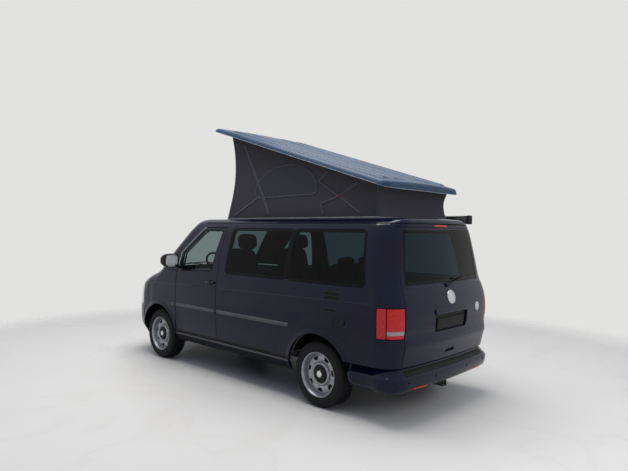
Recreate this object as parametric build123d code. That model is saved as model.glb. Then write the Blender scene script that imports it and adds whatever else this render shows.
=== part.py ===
from build123d import *
import os
from math import cos, sin, tan, radians, sqrt

# Camper van with a raised pop-up roof, in millimetres.
# +X forward, +Y left, +Z up; the origin is on the ground under the middle of the van.

# Driving sizes
half_length = 2446
half_width = 952
wheelbase = 3000
front_overhang = 894
front_axle_x = half_length - front_overhang
rear_axle_x = front_axle_x - wheelbase
wheel_plane_y = 814
wheel_radius = 334
roof_height = 1934
sill_z = 300
wall = 75
glass_thick = 6
seam = 6
fit_gap = 0.3
overrun = 60

# Body section, half widths and heights from sill to roof edge
sill_half, lower_bulge_half, lower_bulge_z = 900, 945, 720
waist_z = 1030
glass_mid_half, cant_half, gutter_half, roof_edge_half = 893, 790, 752, 690
glass_mid_drop, cant_drop, gutter_drop, roof_edge_drop = 474, 134, 74, 12
glass_mid_z, cant_z = roof_height - glass_mid_drop, roof_height - cant_drop
gutter_z, roof_edge_z = roof_height - gutter_drop, roof_height - roof_edge_drop

# Body outline seen from the side: tail
tail_bumper_top_z, tail_low_z, tail_waist_z, tail_glass_z, tail_top_drop = 528, 560, 1095, 1330, 54
tail_top_z = roof_height - tail_top_drop
tail_low_in, tail_glass_in, tail_top_in, roof_rear_in = 19, 101, 188, 241
tail_low_x, tail_glass_x, tail_top_x, roof_rear_x = (
    place - half_length for place in (tail_low_in, tail_glass_in, tail_top_in, roof_rear_in))

# Body outline seen from above
tail_corner_mid_y, tail_corner_end_y = 880, 700
tail_corner_start_in, tail_corner_mid_in, tail_corner_end_in = 346, 116, 61
tail_corner_start_x, tail_corner_mid_x, tail_corner_end_x = (
    place - half_length for place in (tail_corner_start_in, tail_corner_mid_in, tail_corner_end_in))
nose_corner_mid_y, nose_corner_end_y = 860, 690
nose_corner_start_in, nose_corner_mid_in, nose_corner_end_in = 496, 221, 116
nose_corner_start_x, nose_corner_mid_x, nose_corner_end_x = (
    half_length - place for place in (nose_corner_start_in, nose_corner_mid_in, nose_corner_end_in))

# Nose, bonnet and windscreen
nose_foot_z, nose_low_z, nose_high_z, nose_top_z = 310, 450, 640, 900
bonnet_front_z, bonnet_rear_z, bonnet_crown = 1030, 1215, 85
screen_foot_z, screen_top_drop = 1200, 34
screen_sag, screen_sag_y = 152, 900
screen_top_z = roof_height - screen_top_drop
nose_foot_in, nose_top_in, bonnet_front_in, bonnet_rear_in, screen_foot_in, screen_top_in = 116, 61, 146, 656, 671, 1396
nose_foot_x, nose_top_x, bonnet_front_x, bonnet_rear_x, screen_foot_x, screen_top_x = (
    half_length - place
    for place in (nose_foot_in, nose_top_in, bonnet_front_in, bonnet_rear_in, screen_foot_in, screen_top_in))

# Panel edges on the side
door_low_z, door_rear_lean = 440, 0.14
belt_front_z, belt_rear_z, pillar_mid_z, frame_top_drop = 1240, 1268, 1490, 122
frame_top_z = roof_height - frame_top_drop
door_front_in, door_length, pillar_mid_in, frame_top_in = 1315, 891, 1368, 1746
door_front_x, pillar_mid_x, frame_top_front_x = (
    half_length - place for place in (door_front_in, pillar_mid_in, frame_top_in))
door_rear_x = door_front_x - door_length
arch_radius = 417
wing_low_z = 455
wing_top_z = belt_front_z
roof_seam_drop = 62
roof_seam_z = roof_height - roof_seam_drop
bumper_front_top_z, bumper_rear_reach = 700, 420
bumper_rear_x = rear_axle_x - bumper_rear_reach
sliding_gap, sliding_length = 50, 1150
sliding_front_x = door_rear_x - sliding_gap
sliding_rear_x = sliding_front_x - sliding_length
tailgate_half, tailgate_top_half = 772, 700
tailgate_low_z, tailgate_high_z = tail_bumper_top_z + seam, roof_seam_z
lamp_tail_in, lamp_tail_low_z, lamp_tail_high_z = 251, 814, 1090
lamp_tail_x = lamp_tail_in - half_length
lamp_head_in_y, lamp_head_high_z, grille_high_z, bonnet_half = 526, 1000, 925, 784
bumper_front_in, lamp_head_in, grille_in, cowl_in = 496, 456, 196, 946
bumper_front_x, lamp_head_x, grille_x, cowl_x = (
    half_length - place for place in (bumper_front_in, lamp_head_in, grille_in, cowl_in))

# Hinge lines: doors about Z, bonnet and tailgate about Y
door_hinge_y, door_hinge_heights = 947, (640, 1120)
gate_hinge_in, gate_hinge_places = 186, (-430, 430)
gate_hinge_x = gate_hinge_in - half_length
bonnet_hinge_drop, bonnet_hinge_places = 2, (-380, 380)
bonnet_hinge_z = bonnet_rear_z - bonnet_hinge_drop

# Windows on the side: lengths along X and heights
pane_low_z, pane_high_drop = 1262, 128
pane_high_z = roof_height - pane_high_drop
pane_margin, pane_corner, rear_pane_lean = 42, 45, 90
mid_pane_gap, mid_pane_length, rear_pane_gap, rear_pane_in = 70, 1050, 80, 416
mid_pane_front_x = sliding_front_x - mid_pane_gap
mid_pane_rear_x = mid_pane_front_x - mid_pane_length
rear_pane_front_x, rear_pane_rear_x = mid_pane_rear_x - rear_pane_gap, rear_pane_in - half_length

# Floor, wheel boxes and front wall
floor_top_z, floor_thick, floor_tail_y = 560, 60, 560
floor_rear_in, floor_front_in = 136, 1016
floor_rear_x, floor_front_x = floor_rear_in - half_length, half_length - floor_front_in
firewall_thick, firewall_top_z = 40, 1120
wheel_box_half_length, wheel_box_top_z, wheel_box_in_y = 440, 790, 560
wheel_box_wall, front_box_top_z = 20, 760
rail_half, rail_y, rail_low_z = 35, 470, 400
rail_front_in, rail_rear_in = 266, 166
rail_front_x, rail_rear_x = half_length - rail_front_in, rail_rear_in - half_length
front_box_in_y = rail_y + rail_half


def box(x, y, z):
    """A box from three (low, high) pairs."""
    size = [high - low for low, high in (x, y, z)]
    middle = [(high + low) / 2 for low, high in (x, y, z)]
    return Pos(*middle) * Box(*size)


def grown(axis, face, low, high):
    """A flat face, drawn in the two other coordinates in X, Y, Z order, extruded along one axis."""
    plane, direction = {
        "x": (Plane((low, 0, 0), x_dir=(0, 1, 0), z_dir=(1, 0, 0)), (1, 0, 0)),
        "y": (Plane((0, low, 0), x_dir=(1, 0, 0), z_dir=(0, -1, 0)), (0, 1, 0)),
        "z": (Plane((0, 0, low)), (0, 0, 1)),
    }[axis]
    return extrude(plane * face, amount=high - low, dir=direction)


def prism(axis, points, low, high, corner=0):
    """An outline extruded along one axis; its points are the two other coordinates in X, Y, Z order."""
    if corner:
        line = FilletPolyline(*points, radius=corner, close=True)
    else:
        line = Polyline(*points, close=True)
    return grown(axis, make_face(line), low, high)


def rod(start, end, radius):
    """A round bar between two points."""
    start, end = Vector(*start), Vector(*end)
    plane = Plane(start, z_dir=end - start)
    return extrude(plane * Circle(radius), amount=(end - start).length)


def across(x, z, radius, low, high):
    """A round bar along Y."""
    return rod((x, low, z), (x, high, z), radius)


def mirrored(shape):
    return mirror(shape, about=Plane.XZ)


def both(shape):
    return [shape, mirrored(shape)]


def save(node, *shapes):
    solids = [solid for shape in shapes for solid in shape.solids()]
    export_step(Compound(children=solids) if len(solids) > 1 else solids[0], f"parts/{node}.step")


# Body envelope

def section_face():
    half = [
        Line((0, sill_z), (sill_half, sill_z)),
        ThreePointArc((sill_half, sill_z), (lower_bulge_half, lower_bulge_z), (half_width, waist_z)),
        ThreePointArc((half_width, waist_z), (glass_mid_half, glass_mid_z), (cant_half, cant_z)),
        ThreePointArc((cant_half, cant_z), (gutter_half, gutter_z), (roof_edge_half, roof_edge_z)),
    ]
    roof = ThreePointArc((roof_edge_half, roof_edge_z), (0, roof_height), (-roof_edge_half, roof_edge_z))
    other = [mirror(edge, about=Plane.YZ) for edge in half]
    return make_face(half + [roof] + other)


def plan_face():
    half = [
        ThreePointArc((half_length, 0), (nose_flat_x, nose_corner_end_y / 2),
                      (nose_corner_end_x, nose_corner_end_y)),
        ThreePointArc((nose_corner_end_x, nose_corner_end_y), (nose_corner_mid_x, nose_corner_mid_y),
                      (nose_corner_start_x, half_width)),
        Line((nose_corner_start_x, half_width), (tail_corner_start_x, half_width)),
        ThreePointArc((tail_corner_start_x, half_width), (tail_corner_mid_x, tail_corner_mid_y),
                      (tail_corner_end_x, tail_corner_end_y)),
        ThreePointArc((tail_corner_end_x, tail_corner_end_y), (tail_flat_x, tail_corner_end_y / 2),
                      (-half_length, 0)),
    ]
    other = [mirror(edge, about=Plane.XZ) for edge in half]
    return make_face(half + other)


nose_flat_x = half_length - (half_length - nose_corner_end_x) / 4
tail_flat_x = -half_length + (half_length + tail_corner_end_x) / 4


def side_points():
    top = roof_height + overrun
    return [
        (-half_length, sill_z), (-half_length, tail_bumper_top_z), (tail_low_x, tail_low_z),
        (tail_low_x, tail_waist_z), (tail_glass_x, tail_glass_z), (tail_top_x, tail_top_z),
        (roof_rear_x, top), (half_length, top), (half_length, sill_z),
    ]


def nose_points():
    return [
        (cowl_x, 0), (nose_foot_x, 0), (nose_foot_x, nose_foot_z),
        (half_length, nose_low_z), (half_length, nose_high_z), (nose_top_x, nose_top_z),
        (bonnet_front_x, bonnet_front_z + overrun), (cowl_x, bonnet_front_z + half_width),
    ]


def envelope(inset):
    """The body's outer form moved inwards by a distance, without its bottom."""
    def shrunk(face):
        return offset(face, amount=-inset) if inset else face

    wide = half_width + overrun
    section = grown("x", shrunk(section_face()), -half_length, half_length)
    plan = grown("z", shrunk(plan_face()), 0, roof_height + overrun)
    side = grown("y", shrunk(make_face(Polyline(*side_points(), close=True))), -wide, wide)
    nose_side = grown("y", shrunk(make_face(Polyline(*nose_points(), close=True))), -wide, wide)
    slope = Vector(bonnet_front_x - bonnet_rear_x, 0, bonnet_front_z - bonnet_rear_z).normalized()
    crown_z = bonnet_rear_z - inset
    crown = make_face([
        ThreePointArc((-wide, crown_z - bonnet_crown), (0, crown_z), (wide, crown_z - bonnet_crown)),
        Polyline((wide, crown_z - bonnet_crown), (wide, -wide), (-wide, -wide),
                 (-wide, crown_z - bonnet_crown)),
    ])
    crown_start = bonnet_rear_x - half_width
    crown_plane = Plane((crown_start, 0, -slope.Z / slope.X * half_width), x_dir=(0, 1, 0), z_dir=(1, 0, 0))
    bonnet = extrude(crown_plane * crown, amount=2 * half_width / slope.X, dir=slope)
    screen_shift = inset * sqrt(2)
    sag_wide = screen_sag * (wide / screen_sag_y) ** 2
    apex_x = screen_foot_x - screen_shift
    ahead_face = make_face([
        ThreePointArc((apex_x - sag_wide, -wide), (apex_x, 0), (apex_x - sag_wide, wide)),
        Polyline((apex_x - sag_wide, wide), (apex_x + 2 * half_length, wide),
                 (apex_x + 2 * half_length, -wide), (apex_x - sag_wide, -wide)),
    ])
    lean = Vector(screen_top_x - screen_foot_x, 0, screen_top_z - screen_foot_z)
    fall = screen_foot_z / lean.Z
    ahead = extrude(Plane((-lean.X * fall, 0, 0)) * ahead_face, amount=lean.length * 2 * fall,
                    dir=lean.normalized())
    form = section & plan
    return (form & side) - ahead + (form & nose_side & bonnet)


outer = envelope(0)
glass_back = envelope(glass_thick)
inner = envelope(wall)
floor_form = grown("x", offset(section_face(), amount=-wall - 2 * fit_gap), floor_rear_x, half_length)
for side in (-1, 1):
    floor_form -= prism("z", [(floor_rear_x - overrun, side * floor_tail_y),
                              (floor_rear_x + fit_gap, side * floor_tail_y),
                              (tail_corner_mid_x + 1.5 * wall, side * (tail_corner_mid_y - 1.2 * wall)),
                              (tail_corner_start_x, side * (half_width + wall)),
                              (floor_rear_x - overrun, side * (half_width + wall))], 0, roof_height)
clear_form = envelope(-fit_gap)
open_bottom = box((floor_rear_x, nose_foot_x - wall), (-(sill_half - wall), sill_half - wall),
                  (0, floor_top_z - floor_thick))
shell = outer - inner - open_bottom
glass_skin = outer - glass_back


def arch(x, radius=arch_radius):
    return across(x, wheel_radius, radius, -half_width - overrun, half_width + overrun)


arches = arch(front_axle_x) + arch(rear_axle_x)
below_arches = (box((front_axle_x - arch_radius, front_axle_x + arch_radius), (-half_length, half_length),
                    (0, wheel_radius))
                + box((rear_axle_x - arch_radius, rear_axle_x + arch_radius), (-half_length, half_length),
                      (0, wheel_radius)))
shell = shell - arches - below_arches

wide = half_width + overrun
tall = roof_height + overrun

# Outlines of the panels, each grown by a gap on every side

def door_points(gap):
    return [
        (door_rear_x - gap, door_low_z - gap), (door_front_x + gap, door_low_z - gap),
        (door_front_x + gap, belt_front_z + gap), (pillar_mid_x + gap, pillar_mid_z + gap),
        (frame_top_front_x + gap, frame_top_z + gap), (door_rear_x - gap, frame_top_z + gap),
    ]


def door_glass_points(gap):
    return [
        (door_rear_x + 2 * pane_margin + gap, belt_rear_z + gap),
        (pillar_mid_x - pane_margin / 2 - gap, belt_front_z + gap),
        (pillar_mid_x - pane_margin - gap, pillar_mid_z - pane_margin / 2 - gap),
        (frame_top_front_x - pane_margin / 2 - gap, frame_top_z - pane_margin - gap),
        (door_rear_x + pane_margin + gap, frame_top_z - pane_margin - gap),
    ]


def pane_points(front, rear, lean, gap):
    return [
        (rear + gap, pane_low_z + gap), (front - gap, pane_low_z + gap),
        (front - gap, pane_high_z - gap), (rear + lean + gap, pane_high_z - gap),
    ]


def slab(axis, points, corner=0):
    reach = {"x": half_length + overrun, "y": wide, "z": tall}[axis]
    low = 0 if axis == "z" else -reach
    return prism(axis, points, low, reach, corner)


def left(shape):
    return shape & box((-half_length - overrun, half_length + overrun), (0, wide), (0, tall))


# Front doors

door_wedge = prism("z", [(door_rear_x - seam, half_width), (door_rear_x - seam, half_width - wide / 2),
                         (door_rear_x - seam + door_rear_lean * wide / 2, half_width - wide / 2)], 0, tall)
door_hole = slab("y", door_points(0))
door_form = slab("y", door_points(-seam))
door_window = slab("y", door_glass_points(0), pane_corner / 2)
door_left = left(shell & door_form) - door_wedge - door_window
door_glass_left = left(glass_skin & slab("y", door_glass_points(fit_gap), pane_corner / 2))
save_list = [("front_door_left", door_left), ("door_glass_left", door_glass_left)]
body = shell - door_hole

# Tail: tailgate, lamps, bumper

def tailgate_points(gap):
    half, top_half = tailgate_half - gap, tailgate_top_half - gap
    return [
        (-half, tailgate_low_z + gap), (half, tailgate_low_z + gap), (half, tail_waist_z),
        (top_half, tailgate_high_z - gap), (-top_half, tailgate_high_z - gap), (-half, tail_waist_z),
    ]


tailgate_hole = prism("x", tailgate_points(0), -half_length - overrun, lamp_tail_x + wall)
tailgate_form = prism("x", tailgate_points(seam), -half_length - overrun, lamp_tail_x + wall)
tail_glass_low_z, tail_glass_high_drop = 1296, 108
tail_glass_high_z = roof_height - tail_glass_high_drop
tail_glass_low_half, tail_glass_high_half = 706, 640


def tail_glass_points(gap):
    return [
        (-tail_glass_low_half + gap, tail_glass_low_z + gap), (tail_glass_low_half - gap, tail_glass_low_z + gap),
        (tail_glass_high_half - gap, tail_glass_high_z - gap),
        (-tail_glass_high_half + gap, tail_glass_high_z - gap),
    ]


tail_window = prism("x", tail_glass_points(0), -half_length - overrun, lamp_tail_x + wall, pane_corner)
tailgate = (shell & tailgate_form) - tail_window
tailgate_glass = glass_skin & prism("x", tail_glass_points(fit_gap), -half_length - overrun,
                                    lamp_tail_x + wall, pane_corner)
body = body - tailgate_hole

lamp_left = box((-half_length - overrun, lamp_tail_x), (tailgate_half, wide), (lamp_tail_low_z, lamp_tail_high_z))
tail_lamp_left = shell & lamp_left
tail_lamps = both(tail_lamp_left)
body = body - tail_lamp_left - mirrored(tail_lamp_left)

rear_bumper_form = box((-half_length - overrun, bumper_rear_x), (-wide, wide), (0, tail_bumper_top_z))
rear_bumper = body & rear_bumper_form
body = body - rear_bumper_form

# Nose: bumper, grille, headlamps, bonnet, wings

front_bumper_form = box((bumper_front_x, half_length + overrun), (-wide, wide), (0, bumper_front_top_z))
front_bumper = body & front_bumper_form
body = body - front_bumper_form
grille_form = box((grille_x, half_length + overrun), (-lamp_head_in_y, lamp_head_in_y),
                  (bumper_front_top_z, grille_high_z))
grille = body & grille_form
body = body - grille_form
headlamp_form = (box((lamp_head_x, half_length + overrun), (lamp_head_in_y, wide),
                     (bumper_front_top_z, lamp_head_high_z)))
headlamp_left = body & headlamp_form
headlamps = both(headlamp_left)
body = body - headlamp_form - mirrored(headlamp_form)
bonnet_hole = box((bonnet_rear_x, half_length + overrun), (-bonnet_half, bonnet_half), (grille_high_z, tall))
bonnet_form = box((bonnet_rear_x + seam, half_length + overrun), (-bonnet_half + seam, bonnet_half - seam),
                  (grille_high_z + seam, tall))
lamp_clear = box((lamp_head_x - seam, half_length + overrun), (lamp_head_in_y - seam, wide),
                 (0, lamp_head_high_z + seam))
bonnet = (body & bonnet_form) - lamp_clear - mirrored(lamp_clear)
body = body - bonnet_hole
wing_form = box((door_front_x, half_length + overrun), (bonnet_half, wide), (wing_low_z, wing_top_z))
wing_left = body & wing_form
front_wings = both(wing_left)
body = body - wing_form - mirrored(wing_form)

# Windscreen and its frame

screen_low_z, screen_high_drop = 1232, 72
screen_high_z = roof_height - screen_high_drop
screen_low_half, screen_high_half = 800, 640
screen_rear_in = 1496
screen_rear_x = half_length - screen_rear_in


def screen_points(gap):
    return [
        (-screen_low_half + gap, screen_low_z + gap), (screen_low_half - gap, screen_low_z + gap),
        (screen_high_half - gap, screen_high_z - gap), (-screen_high_half + gap, screen_high_z - gap),
    ]


screen_hole = prism("x", screen_points(0), screen_rear_x, half_length, pane_corner)
windscreen = glass_skin & prism("x", screen_points(fit_gap), screen_rear_x, half_length, pane_corner)
frame_form = (box((frame_top_front_x, half_length), (-wide, wide), (wing_top_z, tall))
              + box((cowl_x, half_length), (-bonnet_half, bonnet_half), (floor_top_z, tall)))
windscreen_frame = (body & frame_form) - screen_hole
body = body - frame_form

# Fixed roof with its opening under the pop-up roof

roof_length, roof_half, roof_thick = 2855, 698, 48
roof_rear_open_in, roof_rear_open_rise = 362, 292
roof_rear_open_x, roof_rear_open_z = roof_rear_open_in - half_length, roof_height + roof_rear_open_rise
opening_rear_in, opening_front_in, opening_half = 99, 331, 620
opening_rear_x = roof_rear_open_x + opening_rear_in
opening_front_x = roof_rear_open_x + roof_length - opening_front_in
roof_form = box((-half_length, half_length), (-wide, wide), (roof_seam_z, tall))
roof_frame = (body & roof_form) - box((opening_rear_x, opening_front_x), (-opening_half, opening_half),
                                      (cant_z, tall))
body = body - roof_form - box((opening_rear_x, opening_front_x), (-opening_half, opening_half), (cant_z, tall))

# Side windows and the sliding door on the right

sill_below_door_z = 330


def sliding_points(gap):
    return [
        (sliding_rear_x + gap, sill_below_door_z + gap), (sliding_front_x - gap, sill_below_door_z + gap),
        (sliding_front_x - gap, frame_top_z - gap), (sliding_rear_x + gap, frame_top_z - gap),
    ]


mid_hole = slab("y", pane_points(mid_pane_front_x, mid_pane_rear_x, 0, 0), pane_corner)
rear_hole = slab("y", pane_points(rear_pane_front_x, rear_pane_rear_x, rear_pane_lean, 0), pane_corner)
mid_pane = left(glass_skin & slab("y", pane_points(mid_pane_front_x, mid_pane_rear_x, 0, fit_gap), pane_corner))
rear_pane = left(glass_skin & slab("y", pane_points(rear_pane_front_x, rear_pane_rear_x, rear_pane_lean,
                                                    fit_gap), pane_corner))
side_glass = both(mid_pane) + both(rear_pane)
sliding_door = mirrored(left(body & slab("y", sliding_points(fit_gap))) - mid_hole)
side_left = left(body) - mid_hole - rear_hole
side_right = mirrored(left(body) - slab("y", sliding_points(0)) - rear_hole)

# Floor, front wall and rear wheel boxes

floor_slab = box((-half_length, floor_front_x + firewall_thick), (-wide, wide), (floor_top_z - floor_thick, floor_top_z))
wheel_box_x = (rear_axle_x - wheel_box_half_length, rear_axle_x + wheel_box_half_length)
inner_x = (wheel_box_x[0] + wheel_box_wall, wheel_box_x[1] - wheel_box_wall)
wheel_boxes = box(wheel_box_x, (wheel_box_in_y, wide), (floor_top_z - floor_thick, wheel_box_top_z))
wheel_wells = box(inner_x, (wheel_box_in_y + wheel_box_wall, wide), (0, wheel_box_top_z - wheel_box_wall))
firewall = box((floor_front_x, floor_front_x + firewall_thick), (-wide, wide), (floor_top_z, firewall_top_z))
front_well_x = (front_axle_x - arch_radius, floor_front_x + firewall_thick)
front_boxes = box((front_well_x[0] - wheel_box_wall, front_well_x[1]), (front_box_in_y, wide),
                  (floor_top_z - floor_thick, front_box_top_z))
front_wells = box(front_well_x, (front_box_in_y + wheel_box_wall, wide),
                  (0, front_box_top_z - wheel_box_wall))
underbody = floor_slab + firewall + wheel_boxes + mirrored(wheel_boxes) + front_boxes + mirrored(front_boxes)
underbody = underbody & floor_form
rail = box((rail_rear_x, rail_front_x), (rail_y - rail_half, rail_y + rail_half),
           (rail_low_z, floor_top_z - floor_thick))
underbody = underbody + rail + mirrored(rail) - wheel_wells - mirrored(wheel_wells)
underbody = underbody - front_wells - mirrored(front_wells)

# Wheels: tyre and rim, turned about the axle line

tyre_half, tyre_shoulder, bead_radius, bead_half = 112, 300, 216, 92
tread_half = 88
rim_flange_radius, rim_flange_half = 228, 98
rim_barrel_radius, rim_barrel_thick = 206, 8
disc_out, disc_thick = 62, 26
hub_face = disc_out - disc_thick
hub_cap_radius, hub_cap_out = 100, 82
hole_count, hole_in_radius, hole_out_radius, hole_share = 7, 138, 192, 0.62


def ring(points, x, y):
    """An outline of (radius, width) points turned about the axle line."""
    face = make_face(Polyline(*points, close=True))
    turned = revolve(Plane((0, 0, 0), x_dir=(1, 0, 0), z_dir=(0, 0, 1)) * face, Axis.Y)
    return Pos(x, y, wheel_radius) * turned


def tyre_at(x):
    return ring([
        (bead_radius, -bead_half), (tyre_shoulder - overrun / 2, -tyre_half), (tyre_shoulder, -tyre_half),
        (wheel_radius, -tread_half), (wheel_radius, tread_half), (tyre_shoulder, tyre_half),
        (tyre_shoulder - overrun / 2, tyre_half), (bead_radius, bead_half),
    ], x, wheel_plane_y)


def rim_at(x):
    barrel = ring([
        (rim_barrel_radius, -rim_flange_half), (bead_radius - fit_gap, -rim_flange_half),
        (bead_radius - fit_gap, rim_flange_half),
        (rim_barrel_radius, rim_flange_half),
    ], x, wheel_plane_y)
    lip = ring([
        (rim_barrel_radius, bead_half + fit_gap), (rim_flange_radius, bead_half + fit_gap + rim_barrel_thick),
        (rim_flange_radius, rim_flange_half + rim_barrel_thick), (rim_barrel_radius, rim_flange_half),
    ], x, wheel_plane_y)
    disc = across(x, wheel_radius, rim_barrel_radius, wheel_plane_y + disc_out - disc_thick,
                  wheel_plane_y + disc_out)
    cap = across(x, wheel_radius, hub_cap_radius, wheel_plane_y + disc_out - disc_thick,
                 wheel_plane_y + hub_cap_out)
    rim = barrel + lip + disc + cap
    for index in range(hole_count):
        turn = 360 / hole_count
        half = turn / 2 * hole_share
        corners = [
            (radius * sin(radians(index * turn + side * half)),
             wheel_radius + radius * cos(radians(index * turn + side * half)))
            for radius, side in ((hole_in_radius, -1), (hole_in_radius, 1), (hole_out_radius, 1),
                                 (hole_out_radius, -1))
        ]
        rim = rim - prism("y", [(x + px, pz) for px, pz in corners], wheel_plane_y, wheel_plane_y + wall)
    return rim


# Steering knuckles, front subframe and rear axle

kingpin_y, strut_radius, strut_top_z = 672, 22, 828
knuckle_half, knuckle_thick = 45, 34
ball_z, ball_radius = 208, 20
knuckle_hub_radius = 62
knuckle = (across(front_axle_x, wheel_radius, knuckle_hub_radius, kingpin_y - knuckle_thick / 2,
                  wheel_plane_y + hub_face - fit_gap)
           + box((front_axle_x - knuckle_half, front_axle_x + knuckle_half),
                 (kingpin_y - knuckle_thick / 2, kingpin_y + knuckle_thick / 2), (ball_z, wheel_radius))
           + rod((front_axle_x, kingpin_y, wheel_radius), (front_axle_x, kingpin_y, strut_top_z), strut_radius))
arm_thick, subframe_half_x, subframe_half_y, subframe_low_z = 30, 210, 330, 190
arm_top = ball_z - fit_gap
arm_root_half = 130
arm = prism("z", [
    (front_axle_x - ball_radius, kingpin_y + ball_radius), (front_axle_x + ball_radius, kingpin_y + ball_radius),
    (front_axle_x + ball_radius, kingpin_y - ball_radius), (front_axle_x + arm_root_half, subframe_half_y),
    (front_axle_x - arm_root_half, subframe_half_y), (front_axle_x - ball_radius, kingpin_y - ball_radius),
], arm_top - arm_thick, arm_top)
cross = box((front_axle_x - subframe_half_x, front_axle_x + subframe_half_x), (-subframe_half_y, subframe_half_y),
            (arm_top - arm_thick, arm_top + arm_thick))
post = box((front_axle_x - rail_half, front_axle_x + rail_half), (subframe_half_y - rail_half, rail_y),
           (arm_top - arm_thick, rail_low_z - fit_gap))
tower_half = 60
tower = box((front_axle_x - tower_half, front_axle_x + tower_half), (rail_y + rail_half + fit_gap, kingpin_y + tower_half),
            (strut_top_z + fit_gap, strut_top_z + arm_thick))
tower_leg = box((front_axle_x - tower_half, front_axle_x + tower_half),
                (rail_y + rail_half + fit_gap, rail_y + rail_half + arm_thick),
                (rail_low_z, strut_top_z + arm_thick))
front_subframe = cross + arm + mirrored(arm) + post + mirrored(post)
towers = tower + tower_leg

beam_radius, trailing_half, damper_radius = 38, 32, 26
trailing_length, trailing_y = 548, 547
trailing_front_x = rear_axle_x + trailing_length
rear_axle = across(rear_axle_x, wheel_radius, beam_radius, -wheel_plane_y, wheel_plane_y)
for side in (-1, 1):
    rear_axle += across(rear_axle_x, wheel_radius, knuckle_hub_radius,
                        *sorted((side * kingpin_y, side * (wheel_plane_y + hub_face - fit_gap))))
    rear_axle += rod((rear_axle_x, side * rail_y, wheel_radius),
                     (trailing_front_x, side * rail_y, rail_low_z - 2 * trailing_half), trailing_half)
    rear_axle += box((trailing_front_x - trailing_half, trailing_front_x + trailing_half),
                     (side * rail_y - trailing_half, side * rail_y + trailing_half),
                     (rail_low_z - 3 * trailing_half, rail_low_z - fit_gap))
    rear_axle += rod((rear_axle_x, side * trailing_y, wheel_radius),
                     (rear_axle_x, side * trailing_y, floor_top_z - floor_thick - fit_gap), damper_radius)

# Engine block, exhaust, fuel tank and tow fitting

engine_in, engine_y, engine_z = (786, 276), (-390, 330), (rail_low_z, 900)
engine_x = tuple(half_length - place for place in engine_in)
engine_mount_shift, engine_mount_half, engine_mount_rise = 255, 40, 20
engine_mount_x = engine_x[0] + engine_mount_shift
rail_in_y = rail_y - rail_half - fit_gap
engine = box(engine_x, engine_y, engine_z) + box(
    (engine_mount_x - engine_mount_half, engine_mount_x + engine_mount_half), (-rail_in_y, rail_in_y),
    (rail_low_z + engine_mount_rise, rail_low_z + engine_mount_rise + 2 * engine_mount_half))
exhaust_radius, exhaust_y, exhaust_z = 28, -270, 434
silencer_in, silencer_radius, silencer_z, tail_pipe_in, exhaust_start_in = (246, 686), 80, 404, 116, 886
silencer_x, tail_pipe_x = tuple(place - half_length for place in silencer_in), tail_pipe_in - half_length
exhaust_start_x = half_length - exhaust_start_in
exhaust = (rod((exhaust_start_x, exhaust_y, exhaust_z), (silencer_x[1], exhaust_y, exhaust_z), exhaust_radius)
           + rod((silencer_x[0], exhaust_y, silencer_z), (silencer_x[1], exhaust_y, silencer_z), silencer_radius)
           + rod((tail_pipe_x, exhaust_y, silencer_z), (silencer_x[0], exhaust_y, silencer_z), exhaust_radius))
hanger_half = 12
for hanger_x in (exhaust_start_x - rail_half, trailing_front_x, tail_pipe_x + rail_half):
    exhaust += box((hanger_x - hanger_half, hanger_x + hanger_half),
                   (exhaust_y - hanger_half, exhaust_y + hanger_half),
                   (silencer_z, floor_top_z - floor_thick - fit_gap))
tank_behind_axle, tank_y, tank_low_z = (2172, 992), (-180, 400), 290
tank_x = tuple(front_axle_x - place for place in tank_behind_axle)
tank_z = (tank_low_z, floor_top_z - floor_thick - fit_gap)
fuel_tank = box(tank_x, tank_y, tank_z)
tow_in, tow_z, tow_socket_half, tow_bore_radius, tow_bore_length = 81, 262, 33, 25, 165
tow_beam_half, tow_beam_width, tow_beam_on_rail = 620, 60, 185
tow_x = tow_in - half_length
tow_beam_x = (rail_rear_x + tow_beam_on_rail, rail_rear_x + tow_beam_on_rail + tow_beam_width)
tow_heights = (tow_z - tow_socket_half, tow_z + tow_socket_half)
tow_fitting = (box((tow_x, tow_beam_x[1]), (-tow_socket_half, tow_socket_half), tow_heights)
               + box(tow_beam_x, (-tow_beam_half, tow_beam_half), tow_heights))
for side in (-1, 1):
    tow_fitting += box(tow_beam_x, (side * rail_y - rail_half, side * rail_y + rail_half),
                       (tow_z, rail_low_z - fit_gap))
tow_fitting -= rod((tow_x - overrun, 0, tow_z), (tow_x + tow_bore_length, 0, tow_z), tow_bore_radius)

# Mirrors on the front doors

mirror_in, mirror_y, mirror_z = (1281, 1224), (1000, 1148), (1279, 1470)
mirror_x = tuple(half_length - place for place in mirror_in)
mirror_corner, mirror_side_depth, mirror_inner_depth, mirror_nose_y = 28, 28, 8, (1094, 1130)
mirror_foot_in, mirror_foot_z, mirror_foot_half = 1384, 1300, 26
mirror_foot_x = half_length - mirror_foot_in
mirror_foot_in_y, mirror_foot_end = 890, 4
mirror_left = prism("x", [
    (mirror_y[0], mirror_z[0]), (mirror_y[1], mirror_z[0]), (mirror_y[1], mirror_z[1]), (mirror_y[0], mirror_z[1]),
], *mirror_x, mirror_corner)
mirror_left &= prism("z", [
    (mirror_x[0], mirror_y[0]), (mirror_x[0], mirror_y[1]), (mirror_x[0] + mirror_side_depth, mirror_y[1]),
    (mirror_x[1], mirror_nose_y[1]), (mirror_x[1], mirror_nose_y[0]),
    (mirror_x[0] + mirror_inner_depth, mirror_y[0]),
], *mirror_z)
mirror_left += prism("z", [
    (mirror_foot_x - mirror_foot_half, mirror_foot_in_y), (mirror_foot_x + mirror_foot_half, mirror_foot_in_y),
    (mirror_x[0] + mirror_inner_depth, mirror_y[0] + mirror_foot_end),
    (mirror_x[0] - mirror_foot_half / 2, mirror_y[0] + mirror_foot_end),
], mirror_foot_z - mirror_foot_half / 2, mirror_foot_z + mirror_foot_half)
mirror_left = mirror_left - clear_form

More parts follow.
